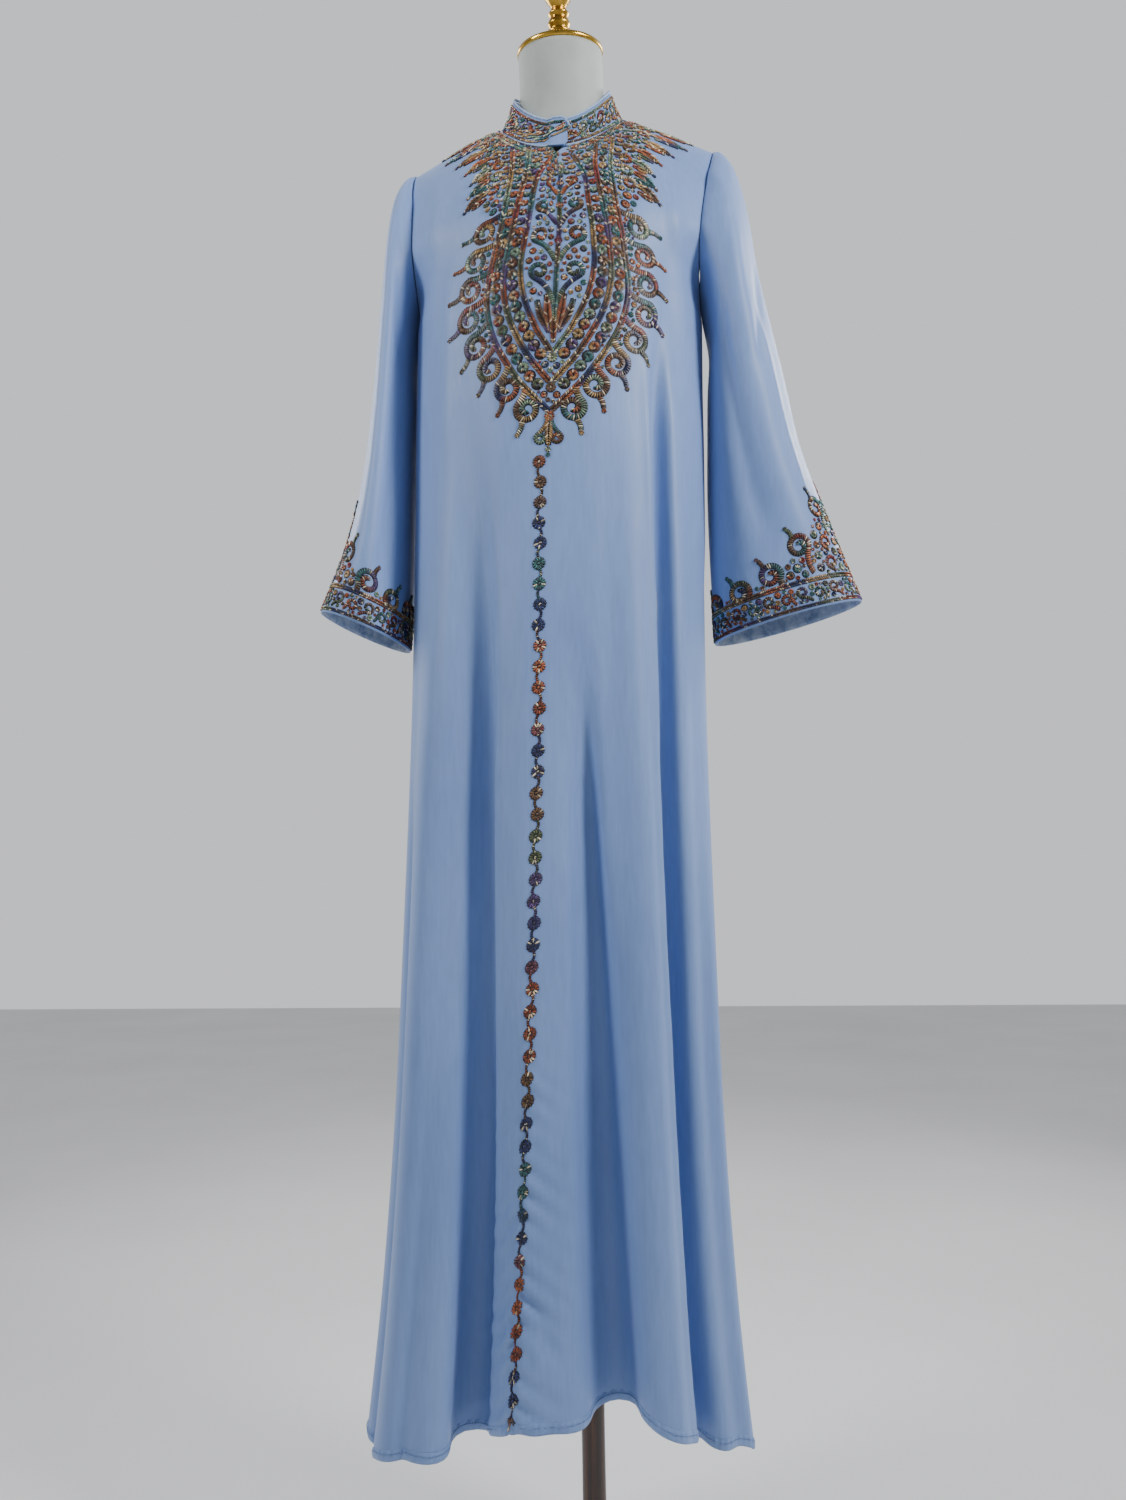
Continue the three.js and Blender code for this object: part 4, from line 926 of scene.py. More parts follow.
NECK_TOP = dict(x=-0.008, y=-0.022, z=1.842, tilt=math.radians(12))


def panel_depth(x, z, face):
    """Depth of a panel's outside at a place, found by halving the panel's width."""
    low, high = np.full(np.shape(x), -1.0), np.full(np.shape(x), 1.0)
    for _ in range(24):
        middle = (low + high) / 2
        t = np.clip((z - UNDERARM_Z) / (top_edge(middle, face)[..., 2] - UNDERARM_Z), 0, 1)
        short = chest_point(middle, t, face)[..., 0] < x
        low, high = np.where(short, middle, low), np.where(short, high, middle)
    t = np.clip((z - UNDERARM_Z) / (top_edge(low, face)[..., 2] - UNDERARM_Z), 0, 1)
    return chest_point(low, t, face)[..., 1]


def form_ring(z, turns):
    get = lambda column: float(sample(FORM_SECTIONS, "z", column, z))
    half_width = get("half_width")
    if z > SHOULDER_RIDGE_Z:
        share = (SIDE_NECK_Z - RIDGE_CLEAR - z) / (SIDE_NECK_Z - SHOULDER_TIP[2])
        half_width = min(half_width, lerp(NECKLINE["half_width"], SHOULDER_TIP[0], share))
    x = get("shift_x") + half_width * np.sin(turns)
    cos = np.cos(turns)
    if z <= UNDERARM_Z:
        return stack(x, get("shift_y") - get("half_depth") * cos, z)
    front = panel_depth(x, z + FORM_CLEAR, -1) + FORM_CLEAR * FORM_SLOPE
    back = panel_depth(x, z + FORM_CLEAR, 1) - FORM_CLEAR * FORM_SLOPE
    half = np.minimum(get("half_depth"), np.maximum((back - front) / 2, RIDGE_HALF_DEPTH))
    centred = np.clip(get("shift_y"), front + half, back - half)
    middle = np.where(back - front < 2 * half, (front + back) / 2, centred)
    squareness = lerp(1, RIDGE_SQUARENESS, smooth((z - UNDERARM_Z) / RIDGE_SQUARENESS_OVER))
    return stack(x, middle - half * np.sign(cos) * np.abs(cos) ** squareness, z)


def closed_loft(rings):
    """Points and faces of a closed solid through rings of equal length."""
    points = np.concatenate(rings)
    count = len(rings[0])
    faces = grid_faces(len(rings), count, closed=True)
    faces.append(list(range(count))[::-1])
    faces.append(list(range(len(points) - count, len(points))))
    return points, faces


def make_form():
    turns = np.linspace(0, 2 * np.pi, FORM_SIDES, endpoint=False)
    heights = spaced((1.070, 1.082, 5), (1.082, 1.690, 76), (1.690, 1.7500, 18))
    torso, torso_faces = closed_loft([form_ring(z, turns) for z in heights])
    rings = []
    for z in np.linspace(1.650, 1.842, 44):
        get = lambda column: float(sample(NECK_SECTIONS, "z", column, z))
        tilt = math.radians(get("tilt"))
        x = DRIFT["top"] + get("radius") * np.sin(turns)
        flat_y = -get("radius") * np.cos(turns)
        rings.append(stack(x, get("y") + flat_y * math.cos(tilt), z + flat_y * math.sin(tilt)))
    neck, neck_faces = closed_loft(rings)
    faces = torso_faces + [[i + len(torso) for i in face] for face in neck_faces]
    piece = make_object("form_torso_and_neck", np.concatenate([torso, neck]), faces, FORM_PAINT)
    settle(piece, "form_cover", "dress_form")


make_form()


def turned(name, profile, material, sides=96):
    """A solid turned about +Z from (radius, height) points; it starts and ends on the axis."""
    profile = np.asarray(profile, float)
    turns = np.linspace(0, 2 * np.pi, sides, endpoint=False)
    rings = [stack(r * np.cos(turns), r * np.sin(turns), h) for r, h in profile[1:-1]]
    points = np.concatenate([*rings, [(0, 0, profile[0][1]), (0, 0, profile[-1][1])]])
    faces = grid_faces(len(rings), sides, closed=True)
    foot, head, last = len(points) - 2, len(points) - 1, (len(rings) - 1) * sides
    faces += [[(i + 1) % sides, i, foot] for i in range(sides)]
    faces += [[last + i, last + (i + 1) % sides, head] for i in range(sides)]
    return make_object(name, points, faces, material)


def curved(rows, per_span):
    """A smooth curve through a profile's rows."""
    rows = np.asarray(rows, float)
    before, after = np.roll(rows, 1, axis=0), np.roll(rows, -1, axis=0)
    before[0], after[-1] = rows[0], rows[-1]
    slope = (after - before) / 2
    t = np.linspace(0, 1, per_span, endpoint=False)[:, None]
    out = []
    for i in range(len(rows) - 1):
        a, b, m, n = rows[i], rows[i + 1], slope[i], slope[i + 1]
        leaving = a * (1 + 2 * t) * (1 - t) ** 2 + m * t * (1 - t) ** 2
        out.append(leaving + b * t * t * (3 - 2 * t) - n * t * t * (1 - t))
    return np.concatenate([*out, rows[-1:]])


CAP_RIM = [(0.0500, 0.0), (0.0528, 0.0006), (0.0535, 0.0030), (0.0531, 0.0056), (0.0512, 0.0070)]
CAP_DOME = [(0.0505, 0.0072), (0.0380, 0.0140), (0.0220, 0.0200), (0.0152, 0.0240)]
CAP_STEM = [(0.0163, 0.0262), (0.0160, 0.0285), (0.0120, 0.0310), (0.0128, 0.0345), (0.0140, 0.0380),
            (0.0126, 0.0420), (0.0110, 0.0450), (0.0124, 0.0478), (0.0130, 0.0500), (0.0112, 0.0530),
            (0.0090, 0.0560), (0.0094, 0.0580), (0.0130, 0.0630)]
CAP_BALL = [(0.0162, 0.0680), (0.0180, 0.0745), (0.0178, 0.0800), (0.0160, 0.0860), (0.0128, 0.0908),
            (0.0090, 0.0940), (0.0045, 0.0962)]
CAP_TOP = 0.0968


def make_cap():
    finial = [tuple(row) for row in curved(CAP_DOME + CAP_STEM + CAP_BALL, 5)]
    profile = [(0, 0), *CAP_RIM, *finial, (0, CAP_TOP)]
    cap = turned("cap_and_finial", profile, BRASS)
    tilt = Matrix.Rotation(NECK_TOP["tilt"], 4, "X")
    place = Vector((NECK_TOP["x"], NECK_TOP["y"], NECK_TOP["z"])) + tilt @ Vector((0, 0, SEAM_GAP))
    cap.data.transform(Matrix.Translation(place) @ tilt)
    settle(cap, "brass", "neck_cap")


make_cap()

POLE_END = dict(flat=0.0122, edge=0.0128, corner=0.0006)
POLE_UNEVEN = 0.00008


def make_pole():
    foot, top = BASE["height"] + SEAM_GAP, FORM_BOTTOM_Z - SEAM_GAP
    flat, edge, corner = POLE_END["flat"], POLE_END["edge"], POLE_END["corner"]
    shaft = [(POLE_RADIUS - POLE_UNEVEN * (1 + math.sin(z * 37)), z)
             for z in np.linspace(foot + 0.002, top - 0.002, 60)]
    lower = [(0, foot), (flat, foot), (edge, foot + corner)]
    upper = [(edge, top - corner), (flat, top), (0, top)]
    settle(turned("wooden_pole", lower + shaft + upper, WOOD, sides=64), "wood", "stand_pole")


make_pole()


def make_base():
    radius, height, edge = BASE["radius"], BASE["height"], BASE["edge"]
    corner = [(radius - edge * (1 - math.cos(a)), height - edge * (1 - math.sin(a)))
              for a in np.linspace(0, math.pi / 2, 9)]
    rings = [(radius * k, height) for k in np.linspace(0.94, 0.05, 16)]
    chamfer = BASE["chamfer"]
    profile = [(0, 0), (radius - chamfer, 0), (radius, chamfer), *corner, *rings, (0, height)]
    settle(turned("round_base", profile, WOOD, sides=128), "wood", "stand_base")


make_base()


# ---------- sheets laid out flat, to draw stitches on ----------
class Chart:
    """A sheet laid out flat: each place is so far across from one column and up from one row.

    On a narrow strip all columns are measured up along the middle one, so that nothing is sheared."""

    def __init__(self, points, outward, middle, foot, upward=1, narrow=False):
        rows, columns = points.shape[:2]
        across = np.zeros((rows, columns))
        across[:, 1:] = np.cumsum(np.linalg.norm(np.diff(points, axis=1), axis=2), axis=1)
        up = np.zeros((rows, columns))
        up[1:] = np.cumsum(np.linalg.norm(np.diff(points, axis=0), axis=2), axis=0)
        if narrow:
            up[:] = up[:, middle:middle + 1]
        across -= across[:, middle:middle + 1]
        up = upward * (up - up[foot:foot + 1])
        self.points = points.reshape(-1, 3)
        self.normals = grid_normals(points, outward).reshape(-1, 3)
        self.flat = np.stack([across.ravel(), up.ravel()], axis=1)
        self.seen = self.points[:, [0, 2]]
        quads = np.array(grid_faces(rows, columns))
        self.triangles = np.concatenate([quads[:, [0, 1, 2]], quads[:, [0, 2, 3]]])
        self.flat_tree = self.tree_of(self.flat)
        self.seen_tree = self.tree_of(self.seen)

    def tree_of(self, layout):
        corners = [(float(x), float(y), 0.0) for x, y in layout]
        return BVHTree.FromPolygons(corners, self.triangles.tolist())

    def look(self, tree, layout, places):
        """The triangle under each place, and its corners' shares of it."""
        places = np.asarray(places, float)
        hits = []
        for x, y in places.tolist():
            index = tree.ray_cast((x, y, 1.0), (0.0, 0.0, -1.0))[2]
            hits.append(tree.find_nearest((x, y, 0.0))[2] if index is None else index)
        corners = self.triangles[hits]
        a, b, c = (layout[corners[:, k]] for k in range(3))
        ab, ac, ap = b - a, c - a, places - a
        area = ab[:, 0] * ac[:, 1] - ab[:, 1] * ac[:, 0]
        to_b = (ap[:, 0] * ac[:, 1] - ap[:, 1] * ac[:, 0]) / area
        to_c = (ab[:, 0] * ap[:, 1] - ab[:, 1] * ap[:, 0]) / area
        shares = np.clip(np.stack([1 - to_b - to_c, to_b, to_c], axis=1), -0.5, 1.5)
        return corners, shares / shares.sum(axis=1, keepdims=True)

    def surface(self, places):
        corners, shares = self.look(self.flat_tree, self.flat, places)
        mix = lambda values: (values[corners] * shares[..., None]).sum(axis=1)
        return mix(self.points), unit(mix(self.normals))

    def lay(self, seen):
        """From places as seen from the front, x and z, to places on the flat sheet."""
        corners, shares = self.look(self.seen_tree, self.seen, seen)
        return (self.flat[corners] * shares[..., None]).sum(axis=1)


UNDERARM_ROW = int(np.searchsorted(FRONT_V, 1.0))
MIDDLE_COLUMN = int(np.argmin(np.abs(FRONT_U)))
BIB_ROWS = slice(int(np.searchsorted(FRONT_V, 0.62)), None)
BIB_MARGIN = 6
BIB_SHEET = FRONT[BIB_ROWS, BIB_MARGIN:-BIB_MARGIN]
BIB_CHART = Chart(BIB_SHEET, 1, MIDDLE_COLUMN - BIB_MARGIN, UNDERARM_ROW - BIB_ROWS.start)
STRIP_HALF = 14
STRIP_COLUMNS = slice(MIDDLE_COLUMN - STRIP_HALF, MIDDLE_COLUMN + STRIP_HALF + 1)
CHAIN_CHART = Chart(FRONT[:, STRIP_COLUMNS], 1, STRIP_HALF, 0, narrow=True)


# ---------- threadwork ----------
THREADS = {
    "copper": srgb(190, 104, 62), "gold": srgb(196, 156, 96), "sand": srgb(236, 222, 190),
    "sage": srgb(140, 168, 140), "teal": srgb(62, 122, 124), "navy": srgb(42, 54, 112),
    "purple": srgb(100, 74, 136), "rose": srgb(158, 66, 60), "rust": srgb(158, 78, 50),
    "moss": srgb(96, 110, 78), "umber": srgb(122, 88, 62),
}
DYES = {
    "mixed": "copper umber gold sage teal umber copper rose umber teal purple rust moss gold navy",
    "warm": "copper rust gold copper umber rose gold",
    "cool": "teal sage navy teal moss purple umber teal",
    "shoulder": "copper gold sage sand copper teal gold umber",
    "edge": "navy umber navy purple rust moss",
    "chain": "rust umber navy teal navy copper rust navy umber moss purple navy rust",
}
DYE_RUN = 0.026                        # length of thread between one colour and the next
# painted shade: the dark under the stitches stands for the shade in the gaps between them, and partly for
# their dark outline
SHADE_AND_OUTLINE_UNDER_STITCHES = np.array(srgb(44, 34, 38)[:3])
THREAD_LIFT = 0.00030
GROUND_EDGE_LIFT = THREAD_LIFT * 0.6
GROUND_LIFT = 0.00060
GROUND_PITCH = 0.0030
DISC_LIFT = 0.00050
STITCH_HEIGHTS = (0.78, 1.15)          # how unevenly high the stitches are, and how far their painted light and shade varies from stitch to stitch
STITCH_SHADES = (0.45, 1.45)
GLINT_SHARE = 0.16                     # share of stitches painted with a glint, lighter and sandier, as a painted highlight of their metal strand
GLINT = np.array(THREADS["sand"][:3])
GLINT_MIX = 0.72
GLINT_GAIN = 1.35
FINE = dict(pitch=0.0023, bar=0.0017)  # the stitches of collar and wrist
CURL_FROM = 0.0042                     # free rounds larger than this are filled with a curl,
ROSETTE_FROM = 0.0028                  # smaller ones with a rosette, and the smallest with a bead


def dyed(kind, phase, run):
    stops = np.array([THREADS[name][:3] for name in DYES[kind].split()])
    at = (phase + np.asarray(run) / DYE_RUN) % len(stops)
    i = at.astype(int)
    return lerp(stops[i], stops[(i + 1) % len(stops)], smooth((at - i - 0.25) / 0.5)[..., None])


def spaced_along(path, pitch):
    """Places evenly along a path, with the direction and the distance run at each."""
    path = np.asarray(path, float)
    run = distance_run(path)
    count = max(int(round(run[-1] / pitch)), 2)
    at = (np.arange(count) + 0.5) * run[-1] / count
    place = lambda s: np.stack([np.interp(s, run, path[:, 0]), np.interp(s, run, path[:, 1])], axis=1)
    ahead = place(np.minimum(at + pitch / 2, run[-1])) - place(np.maximum(at - pitch / 2, 0))
    return place(at), unit(ahead), at, run[-1]


def quarter(vectors):
    return np.stack([-vectors[:, 1], vectors[:, 0]], axis=1)


def spiral(centre, start, radius, inner, turns, hand, points=60):
    t = np.linspace(0, 1, points)
    angle = start + hand * 2 * np.pi * turns * t
    r = lerp(radius, inner, t ** 1.6)
    return np.stack([centre[0] + r * np.cos(angle), centre[1] + r * np.sin(angle)], axis=1)


def scroll(foot, centre, radius, inner, turns, hand, bow=0.12):
    """From a foot, along a tangent, then curling in round a centre."""
    foot, centre = np.asarray(foot, float), np.asarray(centre, float)
    gap = foot - centre
    distance = np.hypot(*gap)
    start = math.atan2(gap[1], gap[0]) + hand * math.acos(min(radius / max(distance, 1e-6), 0.999))
    curl = spiral(centre, start, radius, inner, turns, hand)
    t = np.linspace(0, 1, 14)[:, None]
    stem = lerp(foot, curl[0], t)
    stem += np.sin(np.pi * t) * quarter((curl[0] - foot)[None]) * bow * hand
    return np.concatenate([stem[:-1], curl])


def inside(places, corners):
    """Which places lie inside a closed outline."""
    x, y = places[:, 0, None], places[:, 1, None]
    x0, y0 = corners[:, 0], corners[:, 1]
    x1, y1 = np.roll(x0, -1), np.roll(y0, -1)
    spans = (y0 > y) != (y1 > y)
    crossing = x0 + (y - y0) * (x1 - x0) / np.where(y1 == y0, 1e-12, y1 - y0)
    return (spans & (x < crossing)).sum(axis=1) % 2 == 1


# One stitch: a low three-sided bar between two points. Station along it, side, height and painted shading:
# the ridge is painted lighter as a highlight, the foot darker as shade, and the ends darker as shade and as
# the thread's dark outline.
STITCH = np.array([
    (-1.00, 0.00, 0.15, 0.34),
    (-0.76, -0.85, 0.00, 0.18), (-0.76, 0.00, 0.86, 0.80), (-0.76, 0.85, 0.00, 0.18),
    (0.00, -1.00, 0.00, 0.20), (0.00, 0.00, 1.00, 1.40), (0.00, 1.00, 0.00, 0.20),
    (0.76, -0.85, 0.00, 0.18), (0.76, 0.00, 0.86, 0.80), (0.76, 0.85, 0.00, 0.18),
    (1.00, 0.00, 0.15, 0.34),
])
STITCH_QUADS = np.array([
    (1, 2, 5, 4), (2, 3, 6, 5), (3, 1, 4, 6), (4, 5, 8, 7), (5, 6, 9, 8), (6, 4, 7, 9),
])
STITCH_ENDS = np.array([(0, 2, 1), (0, 3, 2), (0, 1, 3), (10, 7, 8), (10, 8, 9), (10, 9, 7)])


class Embroidery:
    """Stitches gathered into one mesh, on one sheet's chart."""

    def __init__(self, chart, seed):
        self.chart = chart
        self.random = np.random.default_rng(seed)
        self.points, self.colours, self.faces, self.taken = [], [], [], []
        self.count = 0

    def add(self, points, colours, faces):
        self.points.append(points.reshape(-1, 3))
        self.colours.append(colours.reshape(-1, 3))
        self.faces += (faces + self.count).tolist()
        self.count += len(self.points[-1])

    def bars(self, a, b, bar, height, colours):
        """One stitch from each a to each b."""
        count = len(a)
        wanted = np.concatenate([a, (a + b) / 2, b])
        places, normals = self.chart.surface(wanted)
        start, middle, end = places[:count], places[count:2 * count], places[2 * count:]
        normal = normals[count:2 * count]
        along = unit(np.cross(normal, unit(end - start)))
        t = STITCH[:, 0][None, :, None]
        on_cloth = (middle[:, None] * (1 - t * t)
                    + start[:, None] * t * (t - 1) / 2 + end[:, None] * t * (t + 1) / 2)
        side = STITCH[:, 1][None, :, None] * (np.broadcast_to(bar, count) / 2)[:, None, None]
        uneven = self.random.uniform(*STITCH_HEIGHTS, (count, 1, 1))
        rise = THREAD_LIFT + STITCH[:, 2][None, :, None] * height * uneven
        # painted glints: some stitches' colour is made lighter and sandier, a painted highlight
        glint = self.random.random((count, 1)) < GLINT_SHARE
        colours = np.where(glint, lerp(colours, GLINT, GLINT_MIX) * GLINT_GAIN, colours)
        # painted light and shade in the stitch's colour: a highlight on its ridge, shade at its foot and
        # ends, and a brightness that varies from stitch to stitch
        painted_shading = STITCH[:, 3][None, :, None] * self.random.uniform(*STITCH_SHADES, (count, 1, 1))
        first = (np.arange(count) * len(STITCH))[:, None, None]
        quads = (STITCH_QUADS[None] + first).reshape(-1, 4)
        ends = (STITCH_ENDS[None] + first).reshape(-1, 3)
        points = on_cloth + along[:, None] * side + normal[:, None] * rise
        base = self.count
        self.add(points, colours[:, None] * painted_shading, quads)
        self.faces += (ends + base).tolist()

    def ground(self, path, half):
        """A dark strip under the stitches: painted shade in the gaps between them, and the thread's dark
        outline along their edges.
        """
        centres, tangents, _, _ = spaced_along(path, GROUND_PITCH)
        self.taken.append(np.column_stack([centres, np.full(len(centres), half)]))
        aside = quarter(tangents) * half
        count = len(centres)
        places, normals = self.chart.surface(np.concatenate([centres - aside, centres, centres + aside]))
        lift = np.repeat([GROUND_EDGE_LIFT, GROUND_LIFT, GROUND_EDGE_LIFT], count)[:, None]
        points = (places + normals * lift).reshape(3, count, 3)
        quads = np.array(grid_faces(3, count, flip=True))
        self.add(points, np.broadcast_to(SHADE_AND_OUTLINE_UNDER_STITCHES, (3 * count, 3)), quads)

    def ribbon(self, path, width, dye, pitch=0.0026, bar=0.0021, height=0.0017, ends=(0.6, 0.6), taper=1.0):
        """Stitches straight across a path, with rounded or pointed ends."""
        centres, tangents, run, length = spaced_along(path, pitch)
        share = run / length
        half = width / 2 * np.clip(np.minimum(ends[0] + share * 6, ends[1] + (1 - share) * 6), 0, 1)
        half = half * lerp(1, taper, share) * self.random.uniform(0.90, 1.08, len(half))
        aside = unit(quarter(tangents) + tangents * 0.22) * half[:, None]
        self.ground(path, width * lerp(1, taper, 0.5) * 0.50)
        self.bars(centres - aside, centres + aside, bar, height, dyed(dye[0], dye[1], run))

    def braid(self, path, width, dye, pitch=0.0026, bar=0.0021):
        """Two rows of slanting stitches that meet along the path."""
        centres, tangents, run, _ = spaced_along(path, pitch)
        colours = dyed(dye[0], dye[1], run)
        self.ground(path, width * 0.50)
        for side in (-1, 1):
            out = quarter(tangents) * side * width / 2
            shift = tangents * pitch * 0.25 * side
            inner = centres + shift + tangents * width * 0.22 + out * 0.06
            self.bars(inner, centres + shift - tangents * width * 0.16 + out, bar, 0.0016, colours)

    def leaf(self, path, width, dye):
        """A pointed leaf: slanting stitches on both sides of its middle line."""
        centres, tangents, run, length = spaced_along(path, 0.0025)
        share = run / length
        half = width / 2 * np.clip(np.sin(np.pi * np.clip(share * 0.86 + 0.10, 0, 1)), 0.12, 1)
        colours = dyed(dye[0], dye[1], run)
        self.ground(path, width * 0.34)
        for side in (-1, 1):
            out = quarter(tangents) * side * half[:, None]
            self.bars(centres - tangents * half[:, None] * 0.5 + out * 0.05,
                      centres + tangents * half[:, None] * 0.5 + out, 0.0020, 0.0017, colours)

    def rosette(self, centre, radius, dye, petals=9, bar=0.0024, height=0.0016):
        """Petals round a knot, on a dark round of painted shade."""
        centre = np.asarray(centre, float)
        self.shade_disc(centre, radius * 0.94)
        angle = np.linspace(0, 2 * np.pi, petals, endpoint=False) + self.random.uniform(0, 1)
        ray = np.stack([np.cos(angle), np.sin(angle)], axis=1)
        colours = np.repeat(dyed(dye[0], dye[1], np.zeros(1)), petals, axis=0)
        self.bars(centre + ray * radius * 0.26, centre + ray * radius, bar, height, colours)
        knot = ray[:2] * radius * 0.24
        self.bars(centre - knot, centre + knot, bar, height * 1.15, colours[:2] * 1.15)

    def shade_disc(self, centre, radius):
        """A dark round under the stitches: painted shade in the gaps between them."""
        sides = 10
        turn = np.linspace(0, 2 * np.pi, sides, endpoint=False)
        rim = centre + radius * np.stack([np.cos(turn), np.sin(turn)], axis=1)
        places, normals = self.chart.surface(np.concatenate([rim, lerp(rim, centre, 0.5), centre[None]]))
        lift = np.repeat([GROUND_EDGE_LIFT, DISC_LIFT, GROUND_LIFT], [sides, sides, 1])[:, None]
        rings = [[i, (i + 1) % sides, sides + (i + 1) % sides, sides + i] for i in range(sides)]
        hub = [[sides + i, sides + (i + 1) % sides, 2 * sides] for i in range(sides)]
        base = self.count
        self.add(places + normals * lift, np.broadcast_to(SHADE_AND_OUTLINE_UNDER_STITCHES, (2 * sides + 1, 3)), np.array(rings))
        self.faces += (np.array(hub) + base).tolist()
        self.taken.append(np.array([[*centre, radius]]))

    def bead(self, centre, radius, dye):
        self.rosette(centre, radius, dye, petals=6, bar=0.0019, height=0.0015)

    def curl(self, centre, radius, dye, hand, heading=0.0):
        """A small curl that fills a circle."""
        centre = np.asarray(centre, float)
        width = float(np.clip(radius * 0.86, 0.0034, 0.0058))
        self.shade_disc(centre, radius * 0.96)
        path = spiral(centre, heading, radius - width / 2, radius * 0.22, 1.12, hand, 30)
        self.ribbon(path, width, dye, pitch=0.0016, bar=0.0018, height=0.0015, taper=0.7)

    def fill(self, outline, smallest, largest, kinds, gap=0.0001, grid=0.0020):
        """Small curls, rosettes and knots, the largest first, in what room is left inside an outline."""
        low, high = outline.min(axis=0), outline.max(axis=0)
        x, y = np.meshgrid(np.arange(low[0], high[0], grid), np.arange(low[1], high[1], grid))
        places = np.stack([x.ravel(), y.ravel()], axis=1)
        places = places[inside(places, outline)]
        places = places + self.random.uniform(-0.3, 0.3, places.shape) * grid
        taken = np.concatenate(self.taken)
        room = np.empty(len(places))
        for first in range(0, len(places), 400):
            part = places[first:first + 400]
            away = np.hypot(part[:, 0, None] - taken[:, 0], part[:, 1, None] - taken[:, 1])
            room[first:first + 400] = (away - taken[:, 2]).min(axis=1)
        after = np.roll(outline, -1, axis=0)
        corners = np.concatenate([lerp(outline, after, t) for t in (0, 0.25, 0.5, 0.75)])
        for corner in corners:
            room = np.minimum(room, np.hypot(*(places - corner).T))
        for k in range(400):
            best = int(np.argmax(room))
            radius = min(room[best] - gap, largest)
            if radius < smallest:
                break
            centre, dye = places[best], (kinds[k % len(kinds)], k * 1.37)
            if radius > CURL_FROM:
                self.curl(centre, radius, dye, 1 if k % 2 else -1, k * 1.9)
            elif radius > ROSETTE_FROM:
                self.rosette(centre, radius, dye, petals=10, bar=0.0019)
            else:
                self.bead(centre, radius, dye)
            room = np.minimum(room, np.hypot(*(places - centre).T) - radius)

    def finished(self, name, slot, *nodes):
        colours = np.concatenate(self.colours)
        colours = np.concatenate([colours, np.ones((len(colours), 1))], axis=1)
        piece = make_object(name, np.concatenate(self.points), self.faces, THREAD, colours)
        return settle(piece, slot, *nodes)


# ---------- the bib: an all-over scroll layout drawn by rule ----------
def bib_middle(z):
    return lerp(-0.018, -0.001, np.clip((np.asarray(z, float) - 1.292) / 0.258, 0, 1))


def bib_place(rows):
    """Places on the flat sheet of points given from the bib's middle line, x and z."""
    rows = np.asarray(rows, float).reshape(-1, 2)
    return BIB_CHART.lay(np.stack([bib_middle(rows[:, 1]) + rows[:, 0], rows[:, 1]], axis=1))


def mirrored(rows, side):
    return [(side * x, z) for x, z in rows]


def neckline_route(side, low_angle, high_angle):
    point = oval_point(NECKLINE, side * np.linspace(low_angle, high_angle, 40))
    return BIB_CHART.lay(point[:, [0, 2]])


def shifted(path, distance):
    """A path moved sideways on the flat sheet."""
    tangents = unit(np.gradient(path, axis=0))
    return path + quarter(tangents) * distance


# The bib's plaited ribs, from the outermost in: half width, height of the foot, and the top's place
# across and up. Their common shape: share of the half width, and of the way up.
RIBS = [
    (0.079, 1.336, 0.060, 1.690),
    (0.060, 1.368, 0.040, 1.684),
    (0.041, 1.402, 0.012, 1.664),
]
RIB_SHAPE = [
    (0.66, 0.85), (0.80, 0.68), (0.93, 0.52), (1.0, 0.38), (0.86, 0.25), (0.50, 0.115), (0.22, 0.045),
]
RIB_WIDTHS = (0.0076, 0.0076, 0.0068)


def rib_route(side, rib):
    half_width, foot_z, top_x, top_z = rib
    rows = [(top_x, top_z)]
    for share, up in RIB_SHAPE:
        rows.append((max(share * half_width, top_x * min(up + 0.1, 1)), lerp(foot_z, top_z, up)))
    rows.append((0.0012, foot_z))
    return bib_place(mirrored(curved(rows, 10), side))


def rib_outline(rib, scale=1):
    half_width, foot_z, _, top_z = rib
    return np.array([(half_width * scale * share, lerp(foot_z, top_z, up)) for share, up in RIB_SHAPE])


def even(path, count):
    run = distance_run(path)
    at = np.linspace(0, run[-1], count)
    return np.stack([np.interp(at, run, path[:, 0]), np.interp(at, run, path[:, 1])], axis=1)


FLORETS = dict(start=0.03, stop=0.95, pitch=0.0132, largest=0.0076, smallest=0.0030, margin=0.0024)


def band_of_florets(work, outer, inner, kinds, side):
    """Small curls, turned to alternate sides, between two routes."""
    a, b = even(outer, 80), even(inner, 80)
    middle, gap = (a + b) / 2, np.linalg.norm(a - b, axis=1)
    centres, tangents, run, length = spaced_along(middle, FLORETS["pitch"])
    room = np.interp(run / length, np.linspace(0, 1, 80), gap)
    for k, (centre, tangent) in enumerate(zip(centres, tangents)):
        radius = min(FLORETS["largest"], room[k] / 2 - FLORETS["margin"])
        if not FLORETS["start"] < run[k] / length < FLORETS["stop"] or radius < FLORETS["smallest"]:
            continue
        hand = side * (1 if k % 2 else -1)
        work.curl(centre, radius, (kinds[k % len(kinds)], k * 1.37), hand, math.atan2(tangent[1], tangent[0]))


BORDER = [(0.080, 1.572), (0.093, 1.530), (0.099, 1.488), (0.098, 1.446), (0.081, 1.407), (0.056, 1.374),
          (0.033, 1.348), (0.014, 1.326)]
BORDER_SCROLL = dict(count=8, least=0.0118, most=0.0138, eye=0.0018, turns=1.45, width=0.0092,
                     tip=0.0140, tip_width=0.0086, tip_gap=0.0020)


def tip(work, root, reach, long, width, dye):
    """A short tapering end with a knot on it."""
    bend = root + reach * long * 0.5 + quarter(reach[None])[0] * long * 0.10
    path = curved([root, bend, root + reach * long], 8)
    work.ribbon(path, width, dye, ends=(0.9, 0.6), taper=0.5, pitch=0.0024)
    work.bead(root + reach * (long + 0.0014), width * 0.38, dye)


